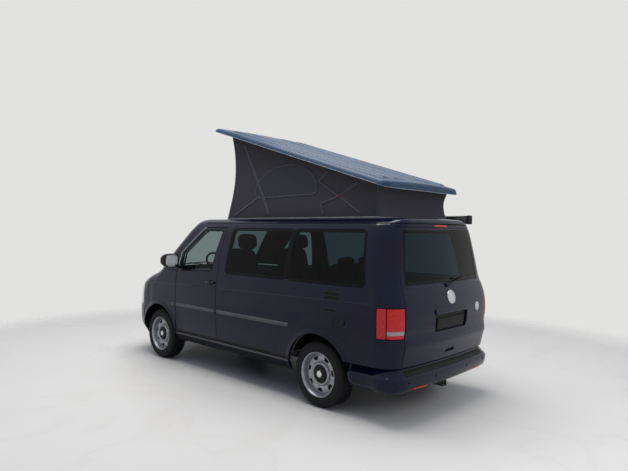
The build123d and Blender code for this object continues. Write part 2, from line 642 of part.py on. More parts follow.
# Inside: front seats, rear bench, dashboard, steering wheel

seat_y, seat_half, seat_in = 480, 250, (2146, 1646)
seat_x = tuple(half_length - place for place in seat_in)
seat_base_top_z, cushion_top_z = 860, 1010
back_thick, back_top_drop, back_lean = 120, 419, 0.28
headrest_half, headrest_drop, headrest_thick = 130, (294, 164), 90
back_top_z, headrest_z = roof_height - back_top_drop, tuple(roof_height - drop for drop in headrest_drop)
seat_base = box((seat_x[0] + overrun, seat_x[1] - overrun), (seat_y - seat_half + overrun, seat_y + seat_half - overrun),
                (floor_top_z, seat_base_top_z))
cushion = box(seat_x, (seat_y - seat_half, seat_y + seat_half), (seat_base_top_z, cushion_top_z))


def leaning(front_x, thick, low, high):
    """Outline in X and Z of a piece that leans back as it rises."""
    return [
        (front_x - back_lean * (low - cushion_top_z) - thick, low),
        (front_x - back_lean * (low - cushion_top_z), low),
        (front_x - back_lean * (high - cushion_top_z), high),
        (front_x - back_lean * (high - cushion_top_z) - thick, high),
    ]


back_front_x = seat_x[0] + back_thick + overrun
seat_back = prism("y", leaning(back_front_x, back_thick, cushion_top_z - back_thick, back_top_z),
                  seat_y - seat_half, seat_y + seat_half)
headrest = prism("y", leaning(back_front_x, headrest_thick, *headrest_z), seat_y - headrest_half,
                 seat_y + headrest_half)
post_half = 8
posts = [prism("y", leaning(back_front_x - back_thick / 3, 2 * post_half, back_top_z - overrun, headrest_z[0] + post_half),
               seat_y + shift - post_half, seat_y + shift + post_half)
         for shift in (-headrest_half / 2, headrest_half / 2)]
front_seat = seat_base + cushion + seat_back + headrest + posts[0] + posts[1]
bench_ahead_of_axle, bench_half, bench_back_thick = (68, 648), 540, 130
bench_x = tuple(rear_axle_x + place for place in bench_ahead_of_axle)
bench_base_top_z, bench_top_z, bench_back_top_drop = 840, 990, 434
bench_back_top_z = roof_height - bench_back_top_drop
rear_bench = (box((bench_x[0], bench_x[1] - overrun), (-bench_half, bench_half), (floor_top_z, bench_base_top_z))
              + box(bench_x, (-bench_half, bench_half), (bench_base_top_z, bench_top_z))
              + box((bench_x[0], bench_x[0] + bench_back_thick), (-bench_half, bench_half),
                    (bench_top_z, bench_back_top_z)))
dash_outline = [(5, 800), (300, 820), (380, 1090), (300, 1230), (5, 1235)]
dash_points = [(floor_front_x - back, height) for back, height in dash_outline]
dashboard = prism("y", dash_points, -half_width, half_width) & floor_form
column_radius, wheel_ring_radius, wheel_tube, column_length = 26, 185, 15, 330
steering_back, steering_z, steering_shift, column_tilt = 525, 1330, 60, 48
steering_x, steering_y = floor_front_x - steering_back, seat_y - steering_shift
steering_place = Pos(steering_x, steering_y, steering_z) * Rot(0, 90 - column_tilt, 0) * Rot(0, 90, 0)
steering_wheel = steering_place * (Torus(wheel_ring_radius, wheel_tube)
                                   + Pos(0, 0, column_length / 2) * Cylinder(column_radius, column_length)
                                   + Cylinder(overrun, 2 * wheel_tube)
                                   + Box(2 * wheel_ring_radius, 2 * wheel_tube, wheel_tube))
steering_wheel = steering_wheel - prism("y", dash_points, -half_width, half_width)

# Pop-up roof, open: its hinge pivots and lift arms

lift_angle, roof_pitch = 35.1, 17.2
closed_pivot_drop, pivot_drop = 24, 32
closed_pivot_z = roof_height - closed_pivot_drop
rear_pivot_along, front_pivot_in = 260, 355
front_pivot_along = roof_length - front_pivot_in
arm_y, arm_half_y, arm_half_z = 606, 5, 12
roof_crown = 40


def on_roof(along, up):
    """A point of the open roof from its rear lower edge."""
    pitch = radians(roof_pitch)
    return (roof_rear_open_x + along * cos(pitch) - up * sin(pitch),
            roof_rear_open_z + along * sin(pitch) + up * cos(pitch))


rear_top = on_roof(rear_pivot_along, -pivot_drop)
front_top = on_roof(front_pivot_along, -pivot_drop)
angle = radians(lift_angle)
rear_arm_length = (rear_top[1] - closed_pivot_z) / sin(angle)
front_arm_length = (front_top[1] - closed_pivot_z) / sin(angle) / 2
rear_base = (rear_top[0] + rear_arm_length * cos(angle), closed_pivot_z)
knee = (front_top[0] - front_arm_length * cos(angle), front_top[1] - front_arm_length * sin(angle))
front_base = (front_top[0], closed_pivot_z)


def bar(start, end, y):
    """A flat arm with round ends between two pivots, given as (x, z)."""
    ends = across(*start, arm_half_z, y - arm_half_y, y + arm_half_y)
    ends += across(*end, arm_half_z, y - arm_half_y, y + arm_half_y)
    along = Vector(end[0] - start[0], end[1] - start[1]).normalized() * (arm_half_z - fit_gap)
    return ends + prism("y", [
        (start[0] - along.Y, start[1] + along.X), (end[0] - along.Y, end[1] + along.X),
        (end[0] + along.Y, end[1] - along.X), (start[0] + along.Y, start[1] - along.X),
    ], y - arm_half_y, y + arm_half_y)


upper_arm_y = arm_y - 2 * arm_half_y - fit_gap
rear_bracket_y = upper_arm_y
front_bracket_y = upper_arm_y - 2 * arm_half_y - fit_gap
rear_arm = bar(rear_base, rear_top, arm_y)
lower_arm = bar(front_base, knee, arm_y)
upper_arm = bar(knee, front_top, upper_arm_y)
base_lugs = [across(*place, arm_half_z, arm_y + arm_half_y + fit_gap, opening_half + wall / 2)
             for place in (rear_base, front_base)]
roof_frame = roof_frame + base_lugs + [mirrored(lug) for lug in base_lugs]

# Pop-up roof panel, drawn flat along X from its rear lower edge and then tilted

roof_corner, roof_front_sag, roof_rib = 130, 60, 30


def roof_block(inset, lift):
    outline = make_face([
        ThreePointArc((roof_length - roof_front_sag - inset, -roof_half + inset), (roof_length - inset, 0),
                      (roof_length - roof_front_sag - inset, roof_half - inset)),
        Polyline((roof_length - roof_front_sag - inset, roof_half - inset), (inset, roof_half - inset),
                 (inset, -roof_half + inset), (roof_length - roof_front_sag - inset, -roof_half + inset)),
    ])
    plan = grown("z", outline, -overrun if inset else 0, roof_thick + 2 * roof_crown)
    top = roof_thick - lift
    crown = make_face([
        ThreePointArc((-roof_half, top), (0, top + roof_crown), (roof_half, top)),
        Polyline((roof_half, top), (roof_half, -2 * overrun), (-roof_half, -2 * overrun), (-roof_half, top)),
    ])
    return plan & grown("x", crown, -overrun, roof_length + overrun)


roof_place = Pos(roof_rear_open_x, 0, roof_rear_open_z) * Rot(0, -roof_pitch, 0)
roof_rim = 46
pop_roof = roof_place * (roof_block(0, 0) - roof_block(roof_rim, roof_rib))
for place, y in ((rear_top, rear_bracket_y), (front_top, front_bracket_y)):
    hanger = (across(*place, arm_half_z, y - arm_half_y, y + arm_half_y)
              + Pos(place[0], 0, place[1]) * Rot(0, -roof_pitch, 0)
              * box((-arm_half_z, arm_half_z), (y - arm_half_y, y + arm_half_y), (0, pivot_drop + roof_rib)))
    pop_roof += hanger
    pop_roof += mirrored(hanger)

# Fabric bellows under the open roof

cloth_half, cloth_thick = 640, 4
cloth_rear_in, cloth_foot_in, cloth_mid_in, cloth_top_in = 64, 310, 449, 384
cloth_low_drop, cloth_mid_rise = 44, 603
cloth_rear_x, cloth_low_z, cloth_mid_z = (roof_rear_open_x + cloth_rear_in, roof_height - cloth_low_drop,
                                          roof_height + cloth_mid_rise)
cloth_foot_x, cloth_mid_x, cloth_top_x = (
    roof_rear_open_x + roof_length - place for place in (cloth_foot_in, cloth_mid_in, cloth_top_in))


def roof_line(x):
    """Height of the open roof's lower face above a place along X."""
    return roof_rear_open_z + (x - roof_rear_open_x) * tan(radians(roof_pitch))


def cloth_outline(inset):
    foot_x, rear_x = cloth_foot_x - inset, cloth_rear_x + inset
    top_x = cloth_top_x - inset
    return make_face([
        ThreePointArc((foot_x, cloth_low_z), (cloth_mid_x - inset, cloth_mid_z), (top_x, roof_line(top_x) - fit_gap)),
        Polyline((top_x, roof_line(top_x) - fit_gap), (rear_x, roof_line(rear_x) - fit_gap),
                 (rear_x, cloth_low_z), (foot_x, cloth_low_z)),
    ])


cloth_outer = grown("y", cloth_outline(0), -cloth_half, cloth_half)
cloth_inner = grown("y", cloth_outline(cloth_thick), -cloth_half + cloth_thick, cloth_half - cloth_thick)
top_cut = roof_place * box((-half_length, half_length), (-wide, wide), (-fit_gap, tall))
roof_bellows = cloth_outer - cloth_inner - clear_form - top_cut

# Awning on the right of the roof

awning_rear_in, awning_length, awning_y, awning_rise, awning_corner = 236, 2680, (-838, -742), (-46, 56), 30
awning_x = (awning_rear_in - half_length, awning_rear_in - half_length + awning_length)
awning_z = tuple(roof_height + rise for rise in awning_rise)
awning = prism("x", [
    (awning_y[0], awning_z[0]), (awning_y[1], awning_z[0]), (awning_y[1], awning_z[1]), (awning_y[0], awning_z[1]),
], *awning_x, awning_corner)
bracket_half, bracket_places_share = 40, (0.08, 0.5, 0.92)
for share in bracket_places_share:
    x = awning_x[0] + share * (awning_x[1] - awning_x[0])
    awning += box((x - bracket_half, x + bracket_half), (awning_y[1] - awning_corner, -roof_half - seam),
                  (awning_z[0], roof_height))
awning = awning - clear_form

# Hinges: a lug on the moving panel turns between two lugs on the body

lug_radius, lug_half, lug_reach, lug_depth, lug_clear = 7, 18, 36, 26, 5.3


def hinge(origin, away, line, stations):
    """Moving lugs, fixed lugs, and the notches that each needs; away points from the moving panel."""
    lugs = {"moving": [], "fixed": [], "cut_moving": [], "cut_fixed": []}
    for station in stations:
        place = Plane(Vector(*origin) + Vector(*line) * station, x_dir=away, z_dir=line).location
        lugs["moving"] += [place * (Cylinder(lug_radius, 2 * lug_half)
                                    + box((-lug_reach, 0), (-lug_depth, 0), (-lug_half, lug_half)))]
        lugs["cut_fixed"] += [place * box((0, lug_radius + lug_clear), (-wall - lug_depth, lug_depth),
                                          (-lug_half - fit_gap, lug_half + fit_gap))]
        for low, high in ((lug_half + fit_gap, 2 * lug_half), (-2 * lug_half, -lug_half - fit_gap)):
            middle = Pos(0, 0, (low + high) / 2)
            lugs["fixed"] += [place * (middle * Cylinder(lug_radius, high - low)
                                       + box((0, lug_reach), (-lug_depth, 0), (low, high)))]
            lugs["cut_moving"] += [place * box(
                (-lug_radius - lug_clear, 0), (-wall - lug_depth, lug_depth),
                (low - lug_clear * (low < 0), high + lug_clear * (high > 0)))]
    return lugs


door_hinge = hinge((door_front_x - seam / 2, door_hinge_y, 0), (1, 0, 0), (0, 0, 1), door_hinge_heights)
door_left = door_left - door_hinge["cut_moving"] + door_hinge["moving"]
wing_left = wing_left - door_hinge["cut_fixed"] + door_hinge["fixed"]
front_wings = both(wing_left)
gate_hinge = hinge((gate_hinge_x, 0, tailgate_high_z - seam / 2), (0, 0, 1), (0, -1, 0), gate_hinge_places)
tailgate = tailgate - gate_hinge["cut_moving"] + gate_hinge["moving"]
roof_frame = roof_frame - gate_hinge["cut_fixed"] + gate_hinge["fixed"]
hood_hinge = hinge((bonnet_rear_x + seam / 2, 0, bonnet_hinge_z), (-1, 0, 0), (0, 1, 0), bonnet_hinge_places)
bonnet = bonnet - hood_hinge["cut_moving"] + hood_hinge["moving"]
windscreen_frame = windscreen_frame - hood_hinge["cut_fixed"] + hood_hinge["fixed"]


def main():
    os.makedirs("parts", exist_ok=True)
    for node, shapes in nodes.items():
        save(node, *shapes)


nodes = {
    "underbody": [underbody],
    "side_left": [side_left],
    "side_right": [side_right],
    "windscreen_frame": [windscreen_frame],
    "roof_frame": [roof_frame],
    "front_wings": front_wings,
    "front_bumper": [front_bumper],
    "rear_bumper": [rear_bumper],
    "grille": [grille],
    "sliding_door": [sliding_door],
    "windscreen": [windscreen],
    "side_glass": side_glass,
    "headlamps": headlamps,
    "tail_lamps": tail_lamps,
    "awning": [awning],
    "tow_fitting": [tow_fitting],
    "front_subframe": [front_subframe] + both(towers),
    "rear_axle": [rear_axle],
    "exhaust": [exhaust],
    "fuel_tank": [fuel_tank],
    "engine": [engine],
    "dashboard": [dashboard],
    "steering_wheel": [steering_wheel],
    "front_seats": both(front_seat),
    "rear_bench": [rear_bench],
    "roof_bellows": [roof_bellows],
    "front_door_left": [door_left],
    "door_glass_left": [door_glass_left],
    "mirror_left": [mirror_left],
    "front_door_right": [mirrored(door_left)],
    "door_glass_right": [mirrored(door_glass_left)],
    "mirror_right": [mirrored(mirror_left)],
    "tailgate": [tailgate],
    "tailgate_glass": [tailgate_glass],
    "bonnet": [bonnet],
    "rear_lift_arms": both(rear_arm),
    "front_lift_lower": both(lower_arm),
    "front_lift_upper": both(upper_arm),
    "pop_roof": [pop_roof],
    "knuckle_left": [knuckle],
    "knuckle_right": [mirrored(knuckle)],
}
for end, axle_x in (("front", front_axle_x), ("rear", rear_axle_x)):
    tyre, rim = tyre_at(axle_x), rim_at(axle_x)
    nodes[f"tyre_{end}_left"], nodes[f"rim_{end}_left"] = [tyre], [rim]
    nodes[f"tyre_{end}_right"], nodes[f"rim_{end}_right"] = [mirrored(tyre)], [mirrored(rim)]
main()
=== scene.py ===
import math

import bmesh
import bpy
import numpy as np
from mathutils import Matrix, Vector, geometry


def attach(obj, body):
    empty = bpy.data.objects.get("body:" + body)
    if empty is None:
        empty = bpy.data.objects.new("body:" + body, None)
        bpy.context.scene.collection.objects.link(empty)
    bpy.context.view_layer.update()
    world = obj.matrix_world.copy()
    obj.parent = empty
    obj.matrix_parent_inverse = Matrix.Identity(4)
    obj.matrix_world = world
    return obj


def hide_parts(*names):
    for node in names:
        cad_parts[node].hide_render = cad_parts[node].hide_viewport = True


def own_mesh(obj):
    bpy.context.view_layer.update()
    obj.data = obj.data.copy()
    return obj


# Looks of the camper van: panels, glass, wheels, raised roof and cabin, in metres.
# +X is forward, +Y is the van's left, +Z is up.

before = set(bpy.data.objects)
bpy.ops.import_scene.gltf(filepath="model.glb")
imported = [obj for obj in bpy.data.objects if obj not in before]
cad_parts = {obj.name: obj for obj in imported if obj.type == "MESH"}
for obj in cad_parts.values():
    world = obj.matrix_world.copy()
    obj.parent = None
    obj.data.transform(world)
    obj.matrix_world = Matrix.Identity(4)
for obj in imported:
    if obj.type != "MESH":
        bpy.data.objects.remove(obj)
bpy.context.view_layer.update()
SIDES = (("left", 1), ("right", -1))
FRONT_AXLE, REAR_AXLE = 1.552, -1.448
AXLES = (("front", FRONT_AXLE), ("rear", REAR_AXLE))
WHEEL_Z, WHEEL_Y = 0.334, 0.814
ARCH_RADIUS = 0.417


# Camera

CAMERA_PLACE = Vector((-5.179, 4.923, 1.786))
CAMERA_YAW, CAMERA_PITCH, CAMERA_ROLL = -46.452, -0.458, 0.774
CAMERA_LENS, CAMERA_SENSOR = 31.05, 36.0


def make_camera():
    yaw, pitch, roll = (math.radians(a) for a in (CAMERA_YAW, CAMERA_PITCH, CAMERA_ROLL))
    ahead = Vector((math.cos(yaw) * math.cos(pitch), math.sin(yaw) * math.cos(pitch), math.sin(pitch)))
    right = ahead.cross(Vector((0, 0, 1))).normalized()
    up = right.cross(ahead)
    rolled_right = right * math.cos(roll) + up * math.sin(roll)
    rolled_up = up * math.cos(roll) - right * math.sin(roll)
    data = bpy.data.cameras.new("camera")
    data.lens, data.sensor_width = CAMERA_LENS, CAMERA_SENSOR
    camera = bpy.data.objects.new("camera", data)
    bpy.context.scene.collection.objects.link(camera)
    turn = Matrix((rolled_right, rolled_up, -ahead)).transposed()
    camera.matrix_world = Matrix.Translation(CAMERA_PLACE) @ turn.to_4x4()
    bpy.context.scene.camera = camera


make_camera()


# Materials

COAT_ROUGHNESS, COAT_IOR, RELIEF_HEIGHT = 0.03, 1.28, 0.001
GLASS_MIRROR_LOW, GLASS_MIRROR_HIGH = 0.012, 0.85


def add_node(tree, kind, **values):
    """A shader node; each value goes to the input of that name, with _ for a blank."""
    made = tree.nodes.new(f"ShaderNode{kind}")
    for name, value in values.items():
        made.inputs[name.replace("_", " ")].default_value = value
    return made


def join_nodes(tree, *pairs):
    """Links between sockets, each given as an output and an input."""
    for output, entry in pairs:
        tree.links.new(output, entry)


def colour_ramp(tree, *stops):
    """A ramp through (position, colour) stops."""
    made = add_node(tree, "ValToRGB")
    elements = made.color_ramp.elements
    for element, (position, colour) in zip(elements, stops):
        element.position, element.color = position, (*colour, 1)
    for position, colour in stops[len(elements):]:
        elements.new(position).color = (*colour, 1)
    return made


def material(name, colour, rough=0.5, metal=0.0, coat=0.0, grain=40.0, spread=0.25, bump=0.0,
             bump_scale=300.0, specular=0.5):
    """A surface whose colour and roughness drift a little over it, with fine relief where bump isn't zero."""
    made = bpy.data.materials.new(name)
    made.use_nodes = True
    tree = made.node_tree
    shader = tree.nodes["Principled BSDF"]
    for entry, value in (("Metallic", metal), ("Coat Weight", coat), ("Coat Roughness", COAT_ROUGHNESS),
                         ("Coat IOR", COAT_IOR), ("Specular IOR Level", specular)):
        shader.inputs[entry].default_value = value
    place = add_node(tree, "TexCoord")
    noise = add_node(tree, "TexNoise", Scale=grain, Detail=4)
    other = [c * (1 - spread) for c in colour]
    drift = colour_ramp(tree, (0.35, other), (0.65, colour))
    sheen = add_node(tree, "MapRange", To_Min=rough * 0.85, To_Max=min(1.0, rough * 1.15))
    join_nodes(tree, (place.outputs["Object"], noise.inputs["Vector"]),
               (noise.outputs["Fac"], drift.inputs["Fac"]),
               (drift.outputs["Color"], shader.inputs["Base Color"]),
               (noise.outputs["Fac"], sheen.inputs["Value"]),
               (sheen.outputs["Result"], shader.inputs["Roughness"]))
    if bump:
        fine = add_node(tree, "TexNoise", Scale=bump_scale)
        relief = add_node(tree, "Bump", Strength=bump, Distance=RELIEF_HEIGHT)
        join_nodes(tree, (place.outputs["Object"], fine.inputs["Vector"]),
                   (fine.outputs["Fac"], relief.inputs["Height"]),
                   (relief.outputs["Normal"], shader.inputs["Normal"]))
    return made


def glass(name, tint, other, rough=0.05):
    """A thin tinted pane: what is behind shows through its tint, and its face mirrors more at a slant."""
    made = bpy.data.materials.new(name)
    made.use_nodes = True
    tree = made.node_tree
    tree.nodes.remove(tree.nodes["Principled BSDF"])
    output = tree.nodes["Material Output"]
    place = add_node(tree, "TexCoord")
    noise = add_node(tree, "TexNoise", Scale=1.2)
    drift = colour_ramp(tree, (0.0, tint), (1.0, other))
    through = add_node(tree, "BsdfTransparent")
    mirror = add_node(tree, "BsdfGlossy", Roughness=rough)
    facing = add_node(tree, "LayerWeight", Blend=0.5)
    slant = add_node(tree, "Math")
    slant.operation = "POWER"
    slant.inputs[1].default_value = 5
    share = add_node(tree, "MapRange", To_Min=GLASS_MIRROR_LOW, To_Max=GLASS_MIRROR_HIGH)
    mix = add_node(tree, "MixShader")
    join_nodes(tree, (place.outputs["Object"], noise.inputs["Vector"]),
               (noise.outputs["Fac"], drift.inputs["Fac"]), (drift.outputs["Color"], through.inputs["Color"]),
               (facing.outputs["Facing"], slant.inputs[0]), (slant.outputs["Value"], share.inputs["Value"]),
               (share.outputs["Result"], mix.inputs["Fac"]), (through.outputs["BSDF"], mix.inputs[1]),
               (mirror.outputs["BSDF"], mix.inputs[2]), (mix.outputs["Shader"], output.inputs["Surface"]))
    return made


PAINT = material("paint", (0.0020, 0.0044, 0.0210), rough=0.35, coat=1.0, grain=3, spread=0.2, specular=0.02)
BLACK_GLOSS = material("black_gloss", (0.004, 0.004, 0.006), rough=0.12, grain=6, specular=0.10)
ROOF_PAINT = material("roof_paint", (0.020, 0.050, 0.104), rough=0.42, coat=0.12, grain=4, specular=0.15)
# Sill: a darker, uncoated copy of the body paint, as painted shade where the tucked-in sill lies in the van's
# shadow.
SILL_SHADE_PAINT = material("sill_painted_shade", (0.0022, 0.003, 0.009), rough=0.5, grain=3, specular=0.10)
# Rub strips and the sill's top line: a lighter grey copy of the body paint, as painted sheen on their rounded
# tops.
STRIP_SHEEN_PAINT = material("strip_painted_sheen", (0.085, 0.086, 0.095), rough=0.42, grain=5, specular=0.3)
PLASTIC = material("black_plastic", (0.008, 0.008, 0.0095), rough=0.6, bump=0.25, bump_scale=900,
                   specular=0.25)
RUBBER = material("tyre_rubber", (0.007, 0.007, 0.0085), rough=0.75, bump=0.3, bump_scale=500, specular=0.25)
RIM = material("rim_silver", (0.33, 0.34, 0.37), rough=0.36, metal=0.75, grain=25, spread=0.2)
CHROME = material("bright_metal", (0.62, 0.63, 0.65), rough=0.12, metal=1.0, grain=30, spread=0.1)
PALE_PATCH = material("pale_patch", (0.62, 0.63, 0.63), rough=0.4, grain=30, spread=0.08)
# Mirror glass as a pale grey, not a mirror: painted reflection.
MIRROR_REFLECTION_PAINT = material("mirror_glass_painted_reflection", (0.62, 0.63, 0.62), rough=0.12, grain=8, spread=0.10)
# A pale bluish band along the raised roof's lower edge: painted highlight.
ROOF_LINE_HIGHLIGHT = material("roof_line_painted_highlight", (0.30, 0.33, 0.38), rough=0.4, grain=20, spread=0.1)
LINING = material("cabin_lining", (0.10, 0.10, 0.105), rough=0.85, bump=0.4, bump_scale=500)
RED_TAG = material("red_tag", (0.30, 0.012, 0.03), rough=0.7, grain=90)
RED_LENS = material("red_lens", (0.62, 0.006, 0.010), rough=0.3, coat=0.12, grain=60, spread=0.35)
PALE_LENS = material("pale_lens", (0.42, 0.33, 0.33), rough=0.18, coat=0.4, grain=90, spread=0.35)
STEEL = material("underbody_black", (0.015, 0.015, 0.017), rough=0.65, bump=0.3, bump_scale=120)
CLOTH = material("tent_cloth", (0.046, 0.044, 0.054), rough=0.9, bump=0.5, bump_scale=700, grain=12,
                 spread=0.15)
MESH_CLOTH = material("mesh_cloth", (0.017, 0.019, 0.030), rough=0.7, bump=0.6, bump_scale=1200)
SEAM_CLOTH = material("seam_cloth", (0.078, 0.077, 0.092), rough=0.8, bump=0.4, bump_scale=900)
SEAT_CLOTH = material("seat_cloth", (0.035, 0.036, 0.042), rough=0.85, bump=0.6, bump_scale=600, grain=50)
TRIM = material("cabin_trim", (0.022, 0.023, 0.026), rough=0.7, bump=0.3, bump_scale=500)
RAIL_METAL = material("rail_metal", (0.16, 0.17, 0.20), rough=0.35, metal=0.6, grain=15)
AWNING_PAINT = material("awning_paint", (0.018, 0.02, 0.028), rough=0.35, grain=8)
TINTED = glass("tinted_glass", (0.10, 0.15, 0.17), (0.13, 0.19, 0.21))
CLEAR = glass("clear_glass", (0.42, 0.48, 0.48), (0.46, 0.52, 0.52))
LAMP_GLASS = glass("lamp_glass", (0.86, 0.88, 0.88), (0.90, 0.92, 0.92))
REAR_TINT = glass("rear_glass", (0.05, 0.09, 0.12), (0.09, 0.15, 0.18))


# Body form, as a field that is negative inside

def smooth_curve(points):
    """A smooth function through (place, value) points."""
    places, values = (np.array(column, float) for column in zip(*points))
    slopes = np.gradient(values, places)

    def value(x):
        x = np.clip(x, places[0], places[-1])
        i = np.clip(np.searchsorted(places, x) - 1, 0, len(places) - 2)
        step = places[i + 1] - places[i]
        t = (x - places[i]) / step
        return ((1 + 2 * t) * (1 - t) ** 2 * values[i] + t * (1 - t) ** 2 * step * slopes[i]
                + t * t * (3 - 2 * t) * values[i + 1] + t * t * (t - 1) * step * slopes[i + 1])

    return value


def smax(a, b, radius):
    """The larger of two fields, rounded where they cross."""
    share = np.clip(0.5 + 0.5 * (a - b) / radius, 0, 1)
    return b + (a - b) * share + radius * share * (1 - share)


def smin(a, b, radius):
    return -smax(-a, -b, radius)


def ramp(value, low, high):
    """0 below low and 1 above high, smooth between."""
    t = np.clip((value - low) / (high - low), 0, 1)
    return t * t * (3 - 2 * t)


side_half = smooth_curve([(0.28, 0.842), (0.36, 0.886), (0.40, 0.910), (0.425, 0.9215), (0.45, 0.925),
                          (0.60, 0.938), (0.80, 0.949), (0.95, 0.952), (1.10, 0.950), (1.25, 0.931),
                          (1.36, 0.913), (1.46, 0.893), (1.64, 0.845), (1.80, 0.790), (1.86, 0.754),
                          (1.92, 0.700), (2.0, 0.62)])
tail_place = smooth_curve([(0.28, -2.36), (0.48, -2.385), (0.58, -2.402), (0.68, -2.424), (0.712, -2.434),
                           (0.735, -2.436), (0.80, -2.426), (0.82, -2.425), (0.87, -2.432), (0.95, -2.438),
                           (1.02, -2.436), (1.09, -2.428), (1.18, -2.408), (1.28, -2.372), (1.40, -2.352),
                           (1.60, -2.326), (1.80, -2.300), (1.88, -2.290), (1.96, -2.28)])
nose_place = smooth_curve([(0.25, 2.36), (0.33, 2.40), (0.45, 2.441), (0.64, 2.444), (0.78, 2.424),
                           (0.92, 2.382), (1.03, 2.33), (1.2, 2.2)])
bonnet_place = smooth_curve([(1.3, 1.39), (1.70, 1.245), (1.79, 1.215), (2.0, 1.150), (2.15, 1.096),
                             (2.27, 1.040), (2.36, 0.985), (2.5, 0.88)])
ROOF_Z = 1.934
CREASE_STEP = 0.006
TAIL_CROWN, ROOF_CROWN, SCREEN_CROWN, NOSE_CROWN, BONNET_CROWN = 0.062, 0.022, 0.1877, 0.24, 0.083
SCREEN_LOW, SCREEN_HIGH = 1.232, 1.862
ARCH_LIP, ARCH_FLARE = 0.011, 0.006
TAIL_BLEND, SCREEN_BLEND, ROOF_BLEND = 0.22, 0.10, 0.06
NOSE_BLEND, BONNET_BLEND, COWL_BLEND = 0.32, 0.10, 0.02


def crease_z(x):
    """Height of the pressed line along the side."""
    return 1.048 + (1.346 - x) * 0.0187


def body_field(points):
    """Less than zero inside the van's body and more outside it; the two sides are alike."""
    x, y, z = points[..., 0], np.abs(points[..., 1]), points[..., 2]
    side = y - side_half(z)
    side = side + CREASE_STEP * ramp(z - crease_z(x), 0.0, 0.009) * ramp(z, 1.5, 1.2) * ramp(x, -2.2, -2.1)
    for _, axle in AXLES:
        away = np.hypot(x - axle, z - WHEEL_Z)
        side = side - ARCH_LIP * ramp(away, 0.475, 0.425) - ARCH_FLARE * ramp(away, 0.62, 0.45)
    tail = tail_place(z) + TAIL_CROWN * y * y - x
    roof = z - ROOF_Z + ROOF_CROWN * y * y
    screen = smax((x - 1.775 + 1.0357 * (z - 1.2) + SCREEN_CROWN * y * y) * 0.695, x - 1.80, 0.02)
    nose = x - nose_place(z) + NOSE_CROWN * y * y
    bonnet = (z - bonnet_place(x) + BONNET_CROWN * y * y) * 0.94
    sides = smax(side, tail, TAIL_BLEND)
    cabin = smax(smax(sides, screen, SCREEN_BLEND), roof, ROOF_BLEND)
    front = smax(smax(sides, nose, NOSE_BLEND), bonnet, BONNET_BLEND)
    return smin(cabin, front, COWL_BLEND)


def cast(origins, directions, reach=3.0):
    """Where rays from inside the body meet its surface, and the outward normals there."""
    low, high = np.zeros(len(origins)), np.full(len(origins), reach)
    for _ in range(30):
        middle = (low + high) / 2
        inside = body_field(origins + directions * middle[:, None]) < 0
        low, high = np.where(inside, middle, low), np.where(inside, high, middle)
    points = origins + directions * low[:, None]
    steps = np.eye(3) * 0.001
    normals = np.stack([body_field(points + s) - body_field(points - s) for s in steps], 1)
    return points, normals / np.linalg.norm(normals, axis=1)[:, None]


# Rays of a panel: each map turns two flat coordinates into ray starts and directions

TAIL_X, TAIL_Y, TAIL_ROUND = -2.15, 0.70, 0.25
NOSE_X, NOSE_Y, NOSE_ROUND = 1.95, 0.62, 0.33
AT_TAIL_SIDE = TAIL_Y + TAIL_ROUND * math.pi / 2
AT_NOSE_SIDE = AT_TAIL_SIDE + NOSE_X - TAIL_X
AT_NOSE_END = AT_NOSE_SIDE + NOSE_ROUND * math.pi / 2
AT_NOSE_MIDDLE = AT_NOSE_END + NOSE_Y


def along(x):
    """Way round the body, from the middle of the tail over the left side, at a place along X on the side."""
    return AT_TAIL_SIDE + x - TAIL_X


def around(way, z):
    """Level rays round the body; a negative way is on the right."""
    hand, way = np.where(way < 0, -1.0, 1.0), np.abs(way)
    start, aim = np.zeros((len(way), 3)), np.zeros((len(way), 3))
    start[:, 2] = z
    turn = np.clip((way - TAIL_Y) / TAIL_ROUND, 0, math.pi / 2)
    start[:, 0] = np.clip(way - AT_TAIL_SIDE + TAIL_X, TAIL_X, NOSE_X)
    start[:, 1] = np.minimum(way, TAIL_Y)
    aim[:, 0], aim[:, 1] = -np.cos(turn), np.sin(turn)
    on_side = (way > AT_TAIL_SIDE) & (way <= AT_NOSE_SIDE)
    start[on_side, 1] = 0.15
    front = way > AT_NOSE_SIDE
    back_turn = np.clip((way - AT_NOSE_SIDE) / NOSE_ROUND, 0, math.pi / 2)
    start[front, 1] = np.minimum(NOSE_Y, AT_NOSE_MIDDLE - way)[front]
    aim[front, 0], aim[front, 1] = np.sin(back_turn)[front], np.cos(back_turn)[front]
    start[:, 1] *= hand
    aim[:, 1] *= hand
    return start, aim


def upward(x, y):
    start = np.stack([x, y, np.full(len(x), 0.7)], 1)
    return start, np.tile([0.0, 0.0, 1.0], (len(x), 1))


def forward(y, z):
    start = np.stack([np.full(len(y), 0.2), y, z], 1)
    return start, np.tile([1.0, 0.0, 0.0], (len(y), 1))


def search(is_past, low, high):
    """The last places before a test turns true, for many pairs of low and high at once."""
    low, high = np.array(low, float), np.array(high, float)
    for _ in range(22):
        middle = (low + high) / 2
        past = is_past(middle)
        low, high = np.where(past, low, middle), np.where(past, middle, high)
    return low


def way_at(y, z):
    """Ways round the tail corner where the surface has given half widths at given heights."""
    y, z = np.array(y, float), np.array(z, float)
    return search(lambda way: cast(*around(way, z))[0][:, 1] >= y, np.full(len(z), TAIL_Y * 0.9),
                  np.full(len(z), AT_TAIL_SIDE))


# Flat outlines

def full_turn(count):
    """Angles evenly round a whole turn."""
    return np.linspace(0, 2 * math.pi, count, endpoint=False)


def area_of(points):
    x, y = points[:, 0], points[:, 1]
    return 0.5 * np.sum(x * np.roll(y, -1) - np.roll(x, -1) * y)


